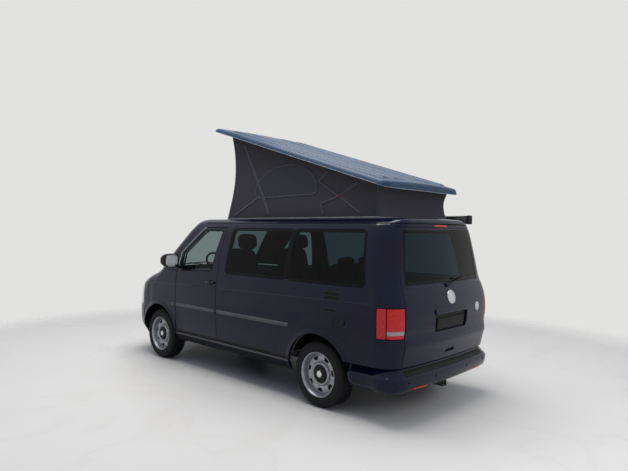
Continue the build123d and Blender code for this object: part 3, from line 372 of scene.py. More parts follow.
def rounded(points, radius):
    """An outline with its corners rounded; radius is one number or one for each corner."""
    points = np.array(points, float)
    radii = np.broadcast_to(radius, len(points))
    made = []
    for i, corner in enumerate(points):
        before, after = points[i - 1] - corner, points[(i + 1) % len(points)] - corner
        reach_before, reach_after = np.linalg.norm(before), np.linalg.norm(after)
        before, after = before / reach_before, after / reach_after
        angle = math.acos(max(-1.0, min(1.0, float(before @ after))))
        if radii[i] <= 0 or angle > math.radians(175):
            made.append(corner)
            continue
        cut = min(radii[i] / math.tan(angle / 2), 0.48 * reach_before, 0.48 * reach_after)
        a, b = corner + before * cut, corner + after * cut
        for t in np.linspace(0, 1, 7):
            made.append(a * (1 - t) ** 2 + corner * 2 * t * (1 - t) + b * t * t)
    return np.array(made)


def dense(points, step, closed=True):
    """The outline with extra points so that no gap is longer than step."""
    points = np.array(points, float)
    ends = np.roll(points, -1, 0) if closed else points[1:]
    made = []
    for a, b in zip(points, ends):
        count = max(1, math.ceil(np.linalg.norm(b - a) / step))
        made += [a + (b - a) * k / count for k in range(count)]
    if not closed:
        made.append(points[-1])
    kept = [made[0]]
    for p in made[1:]:
        if np.linalg.norm(p - kept[-1]) > 1e-5:
            kept.append(p)
    return np.array(kept)


def inset(points, distance):
    """An outline moved inwards, or outwards if distance is negative."""
    points = np.array(points, float)
    if area_of(points) < 0:
        points = points[::-1]
    before, after = points - np.roll(points, 1, 0), np.roll(points, -1, 0) - points
    before /= np.linalg.norm(before, axis=1)[:, None]
    after /= np.linalg.norm(after, axis=1)[:, None]
    inward_a = np.stack([-before[:, 1], before[:, 0]], 1)
    inward_b = np.stack([-after[:, 1], after[:, 0]], 1)
    middle = inward_a + inward_b
    middle /= np.maximum(np.linalg.norm(middle, axis=1)[:, None], 1e-6)
    share = np.maximum((middle * inward_a).sum(1), 0.35)
    return points + middle * (distance / share)[:, None]


def is_inside(points, outline):
    x, y = points[:, 0][:, None], points[:, 1][:, None]
    ax, ay = outline[:, 0], outline[:, 1]
    bx, by = np.roll(ax, -1), np.roll(ay, -1)
    crosses = (ay > y) != (by > y)
    with np.errstate(divide="ignore", invalid="ignore"):
        at = ax + (y - ay) * (bx - ax) / (by - ay)
    return (crosses & (x < at)).sum(1) % 2 == 1


def arc(x, z, radius, start, end, count=24):
    """Points of a circular arc, with angles in degrees from +X towards +Z."""
    return [(x + radius * math.cos(math.radians(a)), z + radius * math.sin(math.radians(a)))
            for a in np.linspace(start, end, count)]


# Meshes

def publish(name, points, faces, finish, body, normals=None, replaces=(), slot=None):
    """A piece of the scene that rides on a body."""
    mesh = bpy.data.meshes.new(name)
    mesh.from_pydata([tuple(map(float, p)) for p in points], [], faces)
    mesh.materials.append(finish)
    mesh.polygons.foreach_set("use_smooth", [True] * len(mesh.polygons))
    mesh.update()
    if normals is not None:
        mesh.normals_split_custom_set_from_vertices([tuple(map(float, n)) for n in normals])
    made = bpy.data.objects.new(name, mesh)
    bpy.context.scene.collection.objects.link(made)
    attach(made, body)
    if replaces:
        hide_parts(*([replaces] if isinstance(replaces, str) else replaces))
    return made


def skin(outline, rays, holes=(), step=0.03, lines=(), edge=0.003, depth=0.018, lift=0.0, surface=None):
    """A panel of the body's surface inside a flat outline: a triangle net with rolled edges.
    Returns points, normals and faces."""
    outer = dense(outline, step * 0.75)
    outer = outer if area_of(outer) > 0 else outer[::-1]
    loops = [outer]
    for hole in holes:
        ring = dense(hole, step * 0.75)
        loops.append(ring[::-1] if area_of(ring) > 0 else ring)
    border = np.concatenate(loops)
    low, high = outer.min(0), outer.max(0)
    grid = np.stack(np.meshgrid(np.arange(low[0] + step / 2, high[0], step),
                                np.arange(low[1] + step / 2, high[1], step)), -1).reshape(-1, 2)
    drawn = [dense(line, step * 0.8, closed=False) for line in lines]
    drawn = np.concatenate(drawn) if drawn else np.zeros((0, 2))

    def kept(points, others, gap):
        if not len(points):
            return points
        good = is_inside(points, outer)
        for ring in loops[1:]:
            good &= ~is_inside(points, ring)
        points = points[good]
        near = np.full(len(points), 1e9)
        for start in range(0, len(others), 400):
            part = others[start:start + 400]
            near = np.minimum(near, np.hypot(points[:, :1] - part[:, 0], points[:, 1:] - part[:, 1]).min(1))
        return points[near > gap]

    drawn = kept(drawn, border, step * 0.15)
    grid = kept(grid, np.concatenate([border, drawn]), step * 0.5)
    flat = np.concatenate([border, drawn, grid])
    edges, first = [], 0
    for ring in loops:
        edges += [(first + i, first + (i + 1) % len(ring)) for i in range(len(ring))]
        first += len(ring)
    found = geometry.delaunay_2d_cdt([Vector(p) for p in flat], edges, [], 0, 1e-7)
    out = np.array([tuple(v) for v in found[0]])
    where = {}
    for i, sources in enumerate(found[3]):
        for source in sources:
            where[source] = i
    triangles = np.array([f for f in found[2]])
    centres = out[triangles].mean(1)
    good = is_inside(centres, outer)
    for ring in loops[1:]:
        good &= ~is_inside(centres, ring)
    triangles = triangles[good]
    points, normals = (surface or (lambda a, b: cast(*rays(a, b))))(out[:, 0], out[:, 1])
    points = points + normals * lift
    a, b, c = (points[triangles[:, i]] for i in range(3))
    facing = (np.cross(b - a, c - a) * normals[triangles[:, 0]]).sum()
    hand = 1 if facing > 0 else -1
    faces = [tuple(t) if hand > 0 else tuple(t[::-1]) for t in triangles.tolist()]
    all_points, all_normals = [points], [normals]
    count, first = len(points), 0
    for ring in loops:
        index = [where[first + i] for i in range(len(ring))]
        first += len(ring)
        place, up = points[index], normals[index]
        run = np.roll(place, -1, 0) - np.roll(place, 1, 0)
        out_way = np.cross(run, up) * hand
        out_way /= np.maximum(np.linalg.norm(out_way, axis=1)[:, None], 1e-9)
        previous = index
        for angle, sink in ((40, 0), (90, 0), (90, depth)):
            turn = math.radians(angle)
            moved = place + out_way * edge * math.sin(turn) - up * (edge * (1 - math.cos(turn)) + sink)
            all_points.append(moved)
            all_normals.append(up * math.cos(turn) + out_way * math.sin(turn))
            current = list(range(count, count + len(ring)))
            count += len(ring)
            for i in range(len(ring)):
                j = (i + 1) % len(ring)
                quad = (previous[i], current[i], current[j], previous[j])
                faces.append(quad if hand > 0 else quad[::-1])
            previous = current
    return np.concatenate(all_points), np.concatenate(all_normals), faces


def mirrored(made):
    points, normals, faces = made
    flip = np.array([1, -1, 1])
    return points * flip, normals * flip, [tuple(f[::-1]) for f in faces]


def handed(made, hand):
    """A panel drawn for the left, mirrored where hand is negative."""
    return mirrored(made) if hand < 0 else made


def on_left(node, hand):
    """The node that a pair of pieces replaces, named on its left piece alone."""
    return node if hand > 0 else ()


def facing_out(points, faces, normals):
    """The faces, all turned over if they look against the normals."""
    a, b, c = (points[[f[i] for f in faces]] for i in range(3))
    if (np.cross(b - a, c - a) * normals[[f[0] for f in faces]]).sum() < 0:
        faces = [f[::-1] for f in faces]
    return faces


def inward(made):
    """The same panel facing into the cabin."""
    points, normals, faces = made
    return points, -normals, [tuple(f[::-1]) for f in faces]


def joined(*parts):
    points, normals, faces, count = [], [], [], 0
    for p, n, f in parts:
        points.append(p)
        normals.append(n)
        faces += [tuple(i + count for i in face) for face in f]
        count += len(p)
    return np.concatenate(points), np.concatenate(normals), faces


def put(name, made, finish, body, **more):
    return publish(name, made[0], made[2], finish, body, normals=made[1], **more)


def panel(name, made, body, **more):
    """A painted outer panel."""
    put(name, made, PAINT, body, slot="body_paint", **more)


def net(rows, closed=False, hand=1):
    """Points and faces of a surface through rows of points."""
    rows = np.array(rows, float)
    count, width = rows.shape[:2]
    points = rows.reshape(-1, 3)
    faces = []
    for i in range(count - 1):
        for j in range(width if closed else width - 1):
            k = (j + 1) % width
            quad = (i * width + j, i * width + k, (i + 1) * width + k, (i + 1) * width + j)
            faces.append(quad if hand > 0 else quad[::-1])
    return points, faces


def sweep(path, section, closed_path=False, caps=True):
    """A section of (side, up) points carried along a path, kept upright in Z."""
    path = [Vector(p) for p in path]
    rows = []
    for i, p in enumerate(path):
        if closed_path:
            run = path[(i + 1) % len(path)] - path[i - 1]
        else:
            run = path[min(i + 1, len(path) - 1)] - path[max(i - 1, 0)]
        run.normalize()
        side = run.cross(Vector((0, 0, 1)))
        side = side.normalized() if side.length > 1e-4 else Vector((0, 1, 0))
        up = side.cross(run)
        rows.append([p + side * a + up * b for a, b in section])
    if closed_path:
        rows.append(rows[0])
    points, faces = net(rows, closed=True, hand=-1)
    width = len(section)
    if caps and not closed_path:
        faces.append(tuple(range(width)))
        faces.append(tuple(range(len(points) - width, len(points)))[::-1])
    return points, faces


def circle(radius, count=12, squash=1.0):
    return [(radius * math.cos(2 * math.pi * k / count), radius * squash * math.sin(2 * math.pi * k / count))
            for k in range(count)]


def block(name, low, high, radius, finish, body, segments=3, **more):
    """A box with rounded edges between two corners."""
    mesh = bmesh.new()
    bmesh.ops.create_cube(mesh, size=1)
    size = [h - l for l, h in zip(low, high)]
    middle = [(h + l) / 2 for l, h in zip(low, high)]
    for v in mesh.verts:
        v.co = Vector([c * s + m for c, s, m in zip(v.co, size, middle)])
    bmesh.ops.bevel(mesh, geom=mesh.edges[:], offset=min(radius, min(size) * 0.49), segments=segments,
                    profile=0.5, affect="EDGES")
    bmesh.ops.recalc_face_normals(mesh, faces=mesh.faces[:])
    points = [v.co[:] for v in mesh.verts]
    faces = [tuple(v.index for v in f.verts) for f in mesh.faces]
    mesh.free()
    return publish(name, points, faces, finish, body, **more)


# Outer panels

SEAM, EDGE = 0.0022, 0.0028
DOOR_REAR, DOOR_FRONT, DOOR_TOP, PILLAR_TOP_X = 0.240, 1.131, 1.812, 0.70
SIDE_LOW, SIDE_TOP = 0.452, 1.872
GATE_LOW, GATE_HALF, GATE_WAIST, GATE_TOP_HALF = 0.534, 0.775, 1.095, 0.703
GATE_TOP = 1.838
LAMP_FRONT, LAMP_LOW, LAMP_HIGH = -2.200, 0.811, 1.093
SLIDE_FRONT, SLIDE_REAR = 0.190, -0.960
MID_PANE = [(0.100, 1.258), (0.100, 1.808), (-0.950, 1.808), (-0.950, 1.258)]
REAR_PANE = [(-0.990, 1.258), (-0.990, 1.808), (-1.960, 1.808), (-2.050, 1.258)]
DOOR_PANE = [(0.372, 1.268), (0.284, 1.786), (0.668, 1.786), (1.028, 1.480), (1.052, 1.240)]
FLAP = [(-1.694, 0.852), (-1.694, 0.960), (-1.934, 0.960), (-1.934, 0.852)]
PANE_ROUND, FRIT = 0.05, 0.024
DOOR_CUT_TOP = DOOR_TOP + 0.003
OUTLINE_STEP, FINE_STEP = 0.03, 0.028
CREASE_RISES = (-0.004, 0.002, 0.007, 0.013)


def on_side(points):
    return [(along(x), z) for x, z in points]


def gate_half(z):
    share = max(0.0, (z - GATE_WAIST) / (SIDE_TOP - GATE_WAIST))
    return GATE_HALF - (GATE_HALF - GATE_TOP_HALF) * share


def gate_seam(high, low, count=12):
    heights = np.linspace(high, low, count)
    return list(zip(way_at([gate_half(z) for z in heights], heights), heights))


def rectangle(left, right, low, high):
    return [(left, low), (right, low), (right, high), (left, high)]


def wheel_arch(axle, start, end):
    """Part of a wheel arch's edge, with angles in degrees as in arc."""
    return on_side(arc(axle, WHEEL_Z, ARCH_RADIUS, start, end, 36))


def cut(points, gap=SEAM + EDGE):
    """An outline drawn in for the seam round a panel."""
    return inset(dense(points, OUTLINE_STEP), gap)


tail_end = (gate_seam(SIDE_TOP, LAMP_HIGH) + [(along(LAMP_FRONT), LAMP_HIGH), (along(LAMP_FRONT), LAMP_LOW)]
            + gate_seam(LAMP_LOW, GATE_LOW, 6) + [(along(-1.816), GATE_LOW)]
            + wheel_arch(REAR_AXLE, 151.3, 16.4))
side_front = on_side([(DOOR_REAR, SIDE_LOW), (DOOR_REAR, DOOR_CUT_TOP), (PILLAR_TOP_X, DOOR_CUT_TOP),
                      (PILLAR_TOP_X, SIDE_TOP)])
mid_hole, rear_hole = rounded(on_side(MID_PANE), PANE_ROUND), rounded(on_side(REAR_PANE), PANE_ROUND)
flap_hole = rounded(on_side(FLAP), 0.012)
crease = [[(along(x), crease_z(x) + rise) for x in np.arange(-2.12, 1.9, 0.05)] for rise in CREASE_RISES]
side_lines = crease + [[(along(x), 1.240) for x in np.arange(-2.12, 1.1, 0.1)]]
GROW = -(SEAM + EDGE)
side_holes = [inset(hole, GROW) for hole in (mid_hole, rear_hole, flap_hole)]
left_side = skin(cut(side_front + tail_end), around, side_holes, step=FINE_STEP, lines=side_lines)
slider_points = on_side(rectangle(SLIDE_REAR, SLIDE_FRONT, SIDE_LOW, DOOR_CUT_TOP))
right_front = side_front + tail_end + on_side([(SLIDE_REAR, SIDE_LOW), (SLIDE_REAR, DOOR_CUT_TOP),
                                               (SLIDE_FRONT, DOOR_CUT_TOP), (SLIDE_FRONT, SIDE_LOW)])
right_side = mirrored(skin(cut(right_front), around, [inset(rear_hole, GROW)], step=FINE_STEP,
                           lines=side_lines))
slider = mirrored(skin(cut(slider_points), around, [inset(mid_hole, GROW)], step=FINE_STEP, lines=side_lines))
panel("side_skin_left", left_side, "body", replaces="side_left")
panel("side_skin_right", right_side, "body", replaces="side_right")
panel("sliding_door_skin", slider, "body", replaces="sliding_door")
flap = skin(inset(flap_hole, 0.001), around, step=0.02, lift=-0.001)
panel("inlet_flap", flap, "body")

# The sill is drawn in the darker sill paint: painted shade.
sill_points = on_side([(-1.0395, 0.418), (1.1435, 0.418), (1.135, 0.334), (1.1364, 0.300), (-1.0324, 0.300),
                       (-1.031, 0.334)])
sill = skin(cut(sill_points), around, step=0.03)
# A thin lighter band along the sill's top edge: painted highlight.
sill_highlight_points = on_side([(-1.034, 0.417), (1.139, 0.417), (1.136, 0.392), (-1.031, 0.392)])
sill_highlight = skin(cut(sill_highlight_points, 0.003), around, step=0.03, lift=0.004, depth=0.005)
strip_points = on_side([(-1.040, 0.412), (1.145, 0.412), (1.150, 0.458), (-1.048, 0.458)])
strip = skin(np.array(strip_points), around, step=0.03, lift=-0.012)
for name, hand in SIDES:
    put(f"sill_{name}", handed(sill, hand), SILL_SHADE_PAINT, "body", slot="body_paint")
    put(f"sill_highlight_{name}", handed(sill_highlight, hand), STRIP_SHEEN_PAINT, "body", slot="body_paint")
    put(f"sill_strip_{name}", handed(strip, hand), PLASTIC, "body", slot="black_plastic")

door_points = on_side([(DOOR_REAR, SIDE_LOW), (DOOR_FRONT, SIDE_LOW), (DOOR_FRONT, 1.240), (1.078, 1.490),
                       (PILLAR_TOP_X, DOOR_TOP), (DOOR_REAR, DOOR_TOP)])
door_hole = rounded(on_side(DOOR_PANE), 0.035)
door = skin(cut(door_points), around, [inset(door_hole, GROW)], step=FINE_STEP, lines=crease)


# Wing: its rays turn upwards over the shoulder to the bonnet's edge

WING_Y, WING_ROUND = 0.787, 0.14


def wing_centre(x):
    """Height of the line that the wing's shoulder turns about."""
    return bonnet_place(x) - BONNET_CROWN * WING_Y ** 2 - WING_ROUND


def over_wing(x, b):
    centre = wing_centre(x)
    turn = np.clip((b - centre) / WING_ROUND, 0, math.pi / 2)
    level = b < centre
    start = np.stack([x, np.where(level, 0.15, WING_Y), np.where(level, b, centre)], 1)
    return start, np.stack([np.zeros(len(x)), np.cos(turn), np.sin(turn)], 1)


def wing_top(x):
    """Upper edge of the wing along X: the screen's foot, then the bonnet's edge."""
    edge = wing_centre(x) + WING_ROUND * math.pi / 2
    foot = search(lambda b: cast(*over_wing(x, b))[0][:, 2] >= 1.237, np.full(len(x), 0.9), edge)
    return np.where(x < 1.75, foot, edge)


WING_REAR = DOOR_FRONT + 0.004
wing_tops = np.linspace(2.13, WING_REAR, 34)
wing_points = ([(WING_REAR, SIDE_LOW)] + arc(FRONT_AXLE, WHEEL_Z, ARCH_RADIUS, 163.6, 17.5, 36)
               + [(1.95, 0.700), (1.99, 0.700), (1.99, 1.004), (2.13, 1.004)]
               + list(zip(wing_tops, wing_top(wing_tops))))
wing = skin(cut(wing_points), over_wing, step=FINE_STEP,
            lines=[[(x, crease_z(x) + rise) for x in np.arange(1.15, 1.95, 0.05)] for rise in CREASE_RISES])


# Windscreen pillar: a net of rays turning from the glass edge to the door's front edge

def screen_half(z):
    return 0.803 - (z - SCREEN_LOW) / (SCREEN_HIGH - SCREEN_LOW) * 0.160


def door_front_at(z):
    return float(np.interp(z, [1.24, 1.49, DOOR_TOP, 2.0], [DOOR_FRONT, 1.078, PILLAR_TOP_X, PILLAR_TOP_X]))


PILLAR_ROWS, PILLAR_COLUMNS = 40, 22


def pillar():
    heights = np.linspace(1.242, SIDE_TOP - 0.002, PILLAR_ROWS)
    glass_half = np.array([screen_half(min(z, SCREEN_HIGH)) + 0.003 for z in heights])
    glass_edge = cast(*forward(glass_half, heights))[0]
    door_edge = cast(*around(np.array([along(door_front_at(z) + 0.006) for z in heights]), heights))[0]
    starts, aims = [], []
    for z, a, b in zip(heights, glass_edge, door_edge):
        centre = np.array([min(a[0], b[0] + 0.6) - 0.30, 0.50, z])
        turns = [math.atan2(p[1] - centre[1], p[0] - centre[0]) for p in (a, b)]
        for turn in np.linspace(*turns, PILLAR_COLUMNS):
            starts.append(centre)
            aims.append((math.cos(turn), math.sin(turn), 0))
    points, normals = cast(np.array(starts), np.array(aims))
    faces = net(points.reshape(PILLAR_ROWS, PILLAR_COLUMNS, 3))[1]
    return points, normals, facing_out(points, faces, normals)


pillar_skin = pillar()
for name, hand in SIDES:
    panel(f"front_door_skin_{name}", handed(door, hand), f"door_{name}", replaces=f"front_door_{name}")
    panel(f"front_wing_{name}", handed(wing, hand), "body", replaces=on_left("front_wings", hand))
    panel(f"screen_pillar_{name}", handed(pillar_skin, hand), "body",
          replaces=on_left("windscreen_frame", hand))


# Tailgate, its recess and its window

gate_points = gate_seam(GATE_TOP, GATE_LOW, 26) + [(-s, z) for s, z in gate_seam(GATE_LOW, GATE_TOP, 26)]
GATE_PANE = [(-0.712, 1.292), (0.712, 1.292), (0.644, 1.812), (-0.644, 1.812)]
PLATE_HOLE = [(-0.305, 0.820), (0.305, 0.820), (0.322, 1.030), (-0.322, 1.030)]
PULL_HOLE = rectangle(-0.085, 0.085, 0.592, 0.628)
gate_hole = rounded(GATE_PANE, 0.055)
plate_hole = rounded(PLATE_HOLE, 0.02)
pull_hole = rounded(PULL_HOLE, 0.012)
gate = skin(cut(gate_points), around, [inset(gate_hole, GROW), plate_hole, pull_hole], step=0.026)
panel("tailgate_skin", gate, "tailgate", replaces="tailgate")
header_points = gate_seam(SIDE_TOP, GATE_TOP, 3) + [(-s, z) for s, z in gate_seam(GATE_TOP, SIDE_TOP, 3)]
header = skin(cut(header_points), around, step=0.026, depth=0.006)
panel("tailgate_header", header, "body")


# Bonnet: rays turn forward over its front edge

BONNET_REAR, BONNET_HALF, BONNET_TURN_X, BONNET_TURN_Z = 1.797, 0.780, 2.15, 0.86


def over_bonnet(y, u):
    turn = np.clip((u - BONNET_TURN_X) / 0.20, 0, math.pi / 2)
    flat = u < BONNET_TURN_X
    start = np.stack([np.where(flat, u, BONNET_TURN_X), y, np.where(flat, 0.7, BONNET_TURN_Z)], 1)
    return start, np.stack([np.sin(turn), np.zeros(len(y)), np.cos(turn)], 1)


lip_y = np.array([BONNET_HALF, 0.70, 0.62, 0.53, 0.52, 0.40, 0.25, 0.1])
lip_z = np.where(lip_y > 0.525, 1.006, 0.931)
lip_u = search(lambda u: cast(*over_bonnet(lip_y, u))[0][:, 2] <= lip_z, np.full(8, BONNET_TURN_X - 0.2),
               np.full(8, BONNET_TURN_X + 0.2 * math.pi / 2))
lip = list(zip(lip_y, lip_u))
bonnet_points = ([(-BONNET_HALF, BONNET_REAR), (BONNET_HALF, BONNET_REAR)] + lip
                 + [(-y, u) for y, u in lip[::-1]])
bonnet = skin(cut(bonnet_points, 0.003), over_bonnet, step=0.03)
panel("bonnet_skin", bonnet, "bonnet", replaces="bonnet")


def across_nose(t, z):
    return around(np.where(t < 0, -1, 1) * (AT_NOSE_MIDDLE - np.abs(t)), z)


def nose_way(x):
    """Distance from the middle of the nose, on the left, of a place on the side."""
    return AT_NOSE_MIDDLE - along(x)


bumper_arch = [(AT_NOSE_MIDDLE - s, z) for s, z in wheel_arch(FRONT_AXLE, 17, -5)[::4]]
bumper_half = [(nose_way(1.952), 0.697)] + bumper_arch + [(nose_way(1.966), 0.290)]
intake = rounded([(-0.62, 0.40), (0.62, 0.40), (0.58, 0.52), (-0.58, 0.52)], 0.03)
front_bumper_points = bumper_half + [(-t, z) for t, z in bumper_half[::-1]]
front_bumper = skin(cut(front_bumper_points), across_nose, [intake], step=0.03)
panel("front_bumper_skin", front_bumper, "body", replaces="front_bumper")
intake_back = skin(inset(intake, -0.01), across_nose, step=0.03, lift=-0.03)
put("front_intake", intake_back, PLASTIC, "body", slot="black_plastic")
lamp_points = [(nose_way(1.992), 0.702), (nose_way(1.992), 0.998), (NOSE_Y + NOSE_ROUND * 0.8, 1.000),
               (0.530, 0.998), (0.530, 0.702)]
head_lens = skin(cut(lamp_points), across_nose, step=0.022, lift=-0.001)
head_back = skin(cut(lamp_points), across_nose, step=0.03, lift=-0.045, depth=0.001)
grille_points = rectangle(-0.522, 0.522, 0.702, 0.926)
grille = skin(cut(grille_points), across_nose, step=0.03, lift=-0.03)
put("grille_back", grille, PLASTIC, "body", replaces="grille", slot="black_plastic")
for name, hand in SIDES:
    put(f"headlamp_lens_{name}", handed(head_lens, hand), LAMP_GLASS, "body", slot="lamp_clear",
        replaces=on_left("headlamps", hand))
    put(f"headlamp_bowl_{name}", handed(head_back, hand), CHROME, "body")


# Tail lamps: one lens round each corner, with a dark line down it and a pale band across

lamp_heights = np.linspace(LAMP_LOW, LAMP_HIGH, 8)
lamp_in = list(zip(way_at([gate_half(z) + 0.0005 for z in lamp_heights], lamp_heights), lamp_heights))
lamp_outline = lamp_in + [(along(LAMP_FRONT), LAMP_HIGH), (along(LAMP_FRONT), LAMP_LOW)]


def lamp_part(low_way, high_way, low_z, high_z):
    return skin(rectangle(*sorted((low_way, high_way)), low_z, high_z), around, step=0.02, edge=0.004,
                depth=0.01)


lamp_base = skin(cut(lamp_outline, 0.002), around, step=0.02, lift=-0.010, edge=0.004)
inner_edge, outer_edge = lamp_in[0][0] + 0.008, along(LAMP_FRONT) - 0.006
split = inner_edge + (outer_edge - inner_edge) * 0.66
for name, hand in SIDES:
    put(f"tail_lamp_base_{name}", handed(lamp_base, hand), BLACK_GLOSS, "body",
        replaces=on_left("tail_lamps", hand))
    reds = joined(lamp_part(inner_edge, split - 0.008, LAMP_LOW + 0.075, LAMP_HIGH - 0.008),
                  lamp_part(inner_edge, split - 0.008, LAMP_LOW + 0.006, LAMP_LOW + 0.034),
                  lamp_part(split + 0.008, outer_edge, LAMP_LOW + 0.006, LAMP_HIGH - 0.008))
    put(f"tail_lamp_red_{name}", handed(reds, hand), RED_LENS, "body", slot="lamp_red")
    band = lamp_part(inner_edge, split - 0.008, LAMP_LOW + 0.038, LAMP_LOW + 0.071)
    put(f"tail_lamp_band_{name}", handed(band, hand), PALE_LENS, "body")


# Rear bumper: a step on top, then the face, carried round the tail between the wheel arches

BUMPER_FORM = [(-0.11, 0.530), (-0.084, 0.529), (-0.076, 0.522), (-0.070, 0.505), (-0.024, 0.458),
               (-0.008, 0.444), (0.0, 0.430), (0.0, 0.400), (-0.005, 0.362), (-0.017, 0.330), (-0.036, 0.316),
               (-0.10, 0.308)]


BUMPER_COLUMNS, BUMPER_CAST_Z = 120, 0.60
BUMPER_SINK, BUMPER_REACH = 0.008, 0.050


def bumper_places(way, out, z):
    """Places and level normals round the bumper, which stands out further across the tail."""
    points, normals = cast(*around(way, np.full(len(way), BUMPER_CAST_Z)))
    normals[:, 2] = 0
    normals /= np.linalg.norm(normals, axis=1)[:, None]
    tail = ramp(-points[:, 0], 2.05, 2.36)
    points = points + normals * (out - BUMPER_SINK + BUMPER_REACH * tail)[:, None]
    points[:, 2] = z
    return points, normals


def rear_bumper():
    rows = []
    for out, z in BUMPER_FORM:
        end = along(REAR_AXLE - math.sqrt(ARCH_RADIUS ** 2 - (z - WHEEL_Z) ** 2) - 0.004)
        points, normals = bumper_places(np.linspace(-end, end, BUMPER_COLUMNS), out, z)
        tucked = points[[0, -1]] - normals[[0, -1]] * max(0.09 + out, 0.001)
        rows.append(np.concatenate([tucked[:1], points, tucked[1:]]))
    return net(rows)


points, faces = rear_bumper()
publish("rear_bumper_skin", points, faces, PAINT, "body", replaces="rear_bumper", slot="body_paint")


# Fixed roof: from the side seam inwards over the cab and round the opening

def roof_outline():
    z = SIDE_TOP + 0.004
    ways = np.concatenate([np.linspace(0, AT_TAIL_SIDE, 40),
                           np.linspace(AT_TAIL_SIDE, along(PILLAR_TOP_X), 60)[1:]])
    half = cast(*around(ways, np.full(len(ways), z)))[0]
    top = pillar_skin[0].reshape(PILLAR_ROWS, PILLAR_COLUMNS, 3)[-1][::-1]
    front_y = np.linspace(screen_half(SCREEN_HIGH), 0, 16)
    front = cast(*forward(front_y, np.full(len(front_y), 1.868)))[0]
    left = np.concatenate([half, top[1:-1], front[1:]])
    right = left[::-1][1:-1] * np.array([1, -1, 1])
    return np.concatenate([left, right])[:, :2]


HATCH = rectangle(-1.985, 0.440, -0.620, 0.620)
roof_edge = inset(dense(roof_outline(), 0.02), 0.001)
roof_rings = [inset(roof_edge, d) for d in (0.008, 0.016, 0.026, 0.038)]
roof_rings = [np.concatenate([r, r[:1]]) for r in roof_rings]
roof = skin(roof_edge, upward, [rounded(HATCH, 0.05)], step=0.03, lines=roof_rings, edge=0.002, depth=0.008)
panel("roof_skin", roof, "body", replaces="roof_frame")
screen_foot = [(1.742 - SCREEN_CROWN * y * y, y) for y in np.linspace(0.79, -0.79, 14)]
cowl = skin([(1.788, -0.78), (1.788, 0.78)] + screen_foot, upward, step=0.03, lift=-0.006)
put("cowl_tray", cowl, PLASTIC, "body")


# Windows: a black border flush with the panel and a tinted pane inside it

def window(name, hole, rays, finish, body, hand=1, border=FRIT, replaces=(), slot="dark_glass"):
    ring = skin(inset(hole, 0.002), rays, [inset(hole, border)], step=0.03, lift=-0.002, edge=0.002,
                depth=0.006)
    put(f"{name}_border", handed(ring, hand), BLACK_GLOSS, body)
    pane = skin(inset(hole, border - 0.001), rays, step=0.06, lift=-0.004, edge=0.0005, depth=0.002)
    put(name, handed(pane, hand), finish, body, replaces=replaces, slot=slot)


for name, hand, rear in (("left", 1, -0.946), ("right", -1, -0.966)):
    post = skin(cut(on_side(rectangle(-0.997, rear + 0.004, 1.266, 1.800)), 0.002), around, step=0.03,
                lift=0.0008, edge=0.001, depth=0.002)
    put(f"pane_post_{name}", handed(post, hand), BLACK_GLOSS, "body")
for pane, hole in (("mid", mid_hole), ("rear", rear_hole)):
    for name, hand in SIDES:
        window(f"{pane}_pane_{name}", hole, around, TINTED, "body", hand,
               replaces="side_glass" if pane == "mid" and hand > 0 else ())
for name, hand in SIDES:
    window(f"door_pane_{name}", door_hole, around, CLEAR, f"door_{name}", hand, border=0.014,
           replaces=f"door_glass_{name}", slot="clear_glass")
window("tailgate_pane", gate_hole, around, REAR_TINT, "tailgate", replaces="tailgate_glass")
foot_half, head_half = screen_half(SCREEN_LOW), screen_half(SCREEN_HIGH)
screen_hole = rounded([(-foot_half, SCREEN_LOW + 0.002), (foot_half, SCREEN_LOW + 0.002),
                       (head_half, SCREEN_HIGH), (-head_half, SCREEN_HIGH)], 0.06)
window("windscreen_pane", screen_hole, forward, CLEAR, "body", border=0.03, replaces="windscreen",
       slot="clear_glass")


# Wheels

def publish_turned(name, profile, count, x, hand, finish, body, **more):
    """A (radius, out) profile turned about a wheel's axle line; out is away from the van's middle."""
    rows = []
    for radius, out in profile:
        rows.append([(x + radius * math.sin(2 * math.pi * k / count), hand * (WHEEL_Y + out),
                      WHEEL_Z + radius * math.cos(2 * math.pi * k / count)) for k in range(count)])
    publish(name, *net(rows, closed=True, hand=hand), finish, body, **more)


TREAD_RADIUS, GROOVE_RADIUS, SHOULDER_RADIUS, TREAD_CUT = 0.3335, 0.325, 0.313, 0.007


def tyre(x, hand):
    """Tread blocks between four grooves, shoulder ribs and a bulged side wall."""
    count = 144
    side = [(0.216, 0.092), (0.222, 0.100), (0.232, 0.1045), (0.245, 0.1085), (0.262, 0.1115), (0.278, 0.112),
            (0.292, 0.1105), (0.304, 0.1075), (0.314, 0.1025), (0.322, 0.096), (0.3285, 0.089),
            (0.3325, 0.082)]
    tread = [(0.334, 0.074), (0.334, 0.062), (0.326, 0.060), (0.326, 0.054), (0.334, 0.052), (0.334, 0.026),
             (0.326, 0.024), (0.326, 0.018), (0.334, 0.016), (0.334, 0.0)]
    half = side + tread
    profile = half + [(r, -o) for r, o in half[::-1][1:]]
    rows = []
    for index, (radius, out) in enumerate(profile):
        row = []
        for k in range(count):
            turn = 2 * math.pi * k / count
            deep = 0.0
            if radius > TREAD_RADIUS and k % 4 == 0:
                deep = TREAD_CUT
            if SHOULDER_RADIUS < radius < TREAD_RADIUS and k % 4 == 0:
                deep = TREAD_CUT / 2
            r = radius - deep
            lean = turn + (0.012 * (abs(out) / 0.08) if radius > GROOVE_RADIUS else 0)
            row.append((x + r * math.sin(lean), hand * (WHEEL_Y + out), WHEEL_Z + r * math.cos(lean)))
        rows.append(row)
    return net(rows, closed=True, hand=-hand)


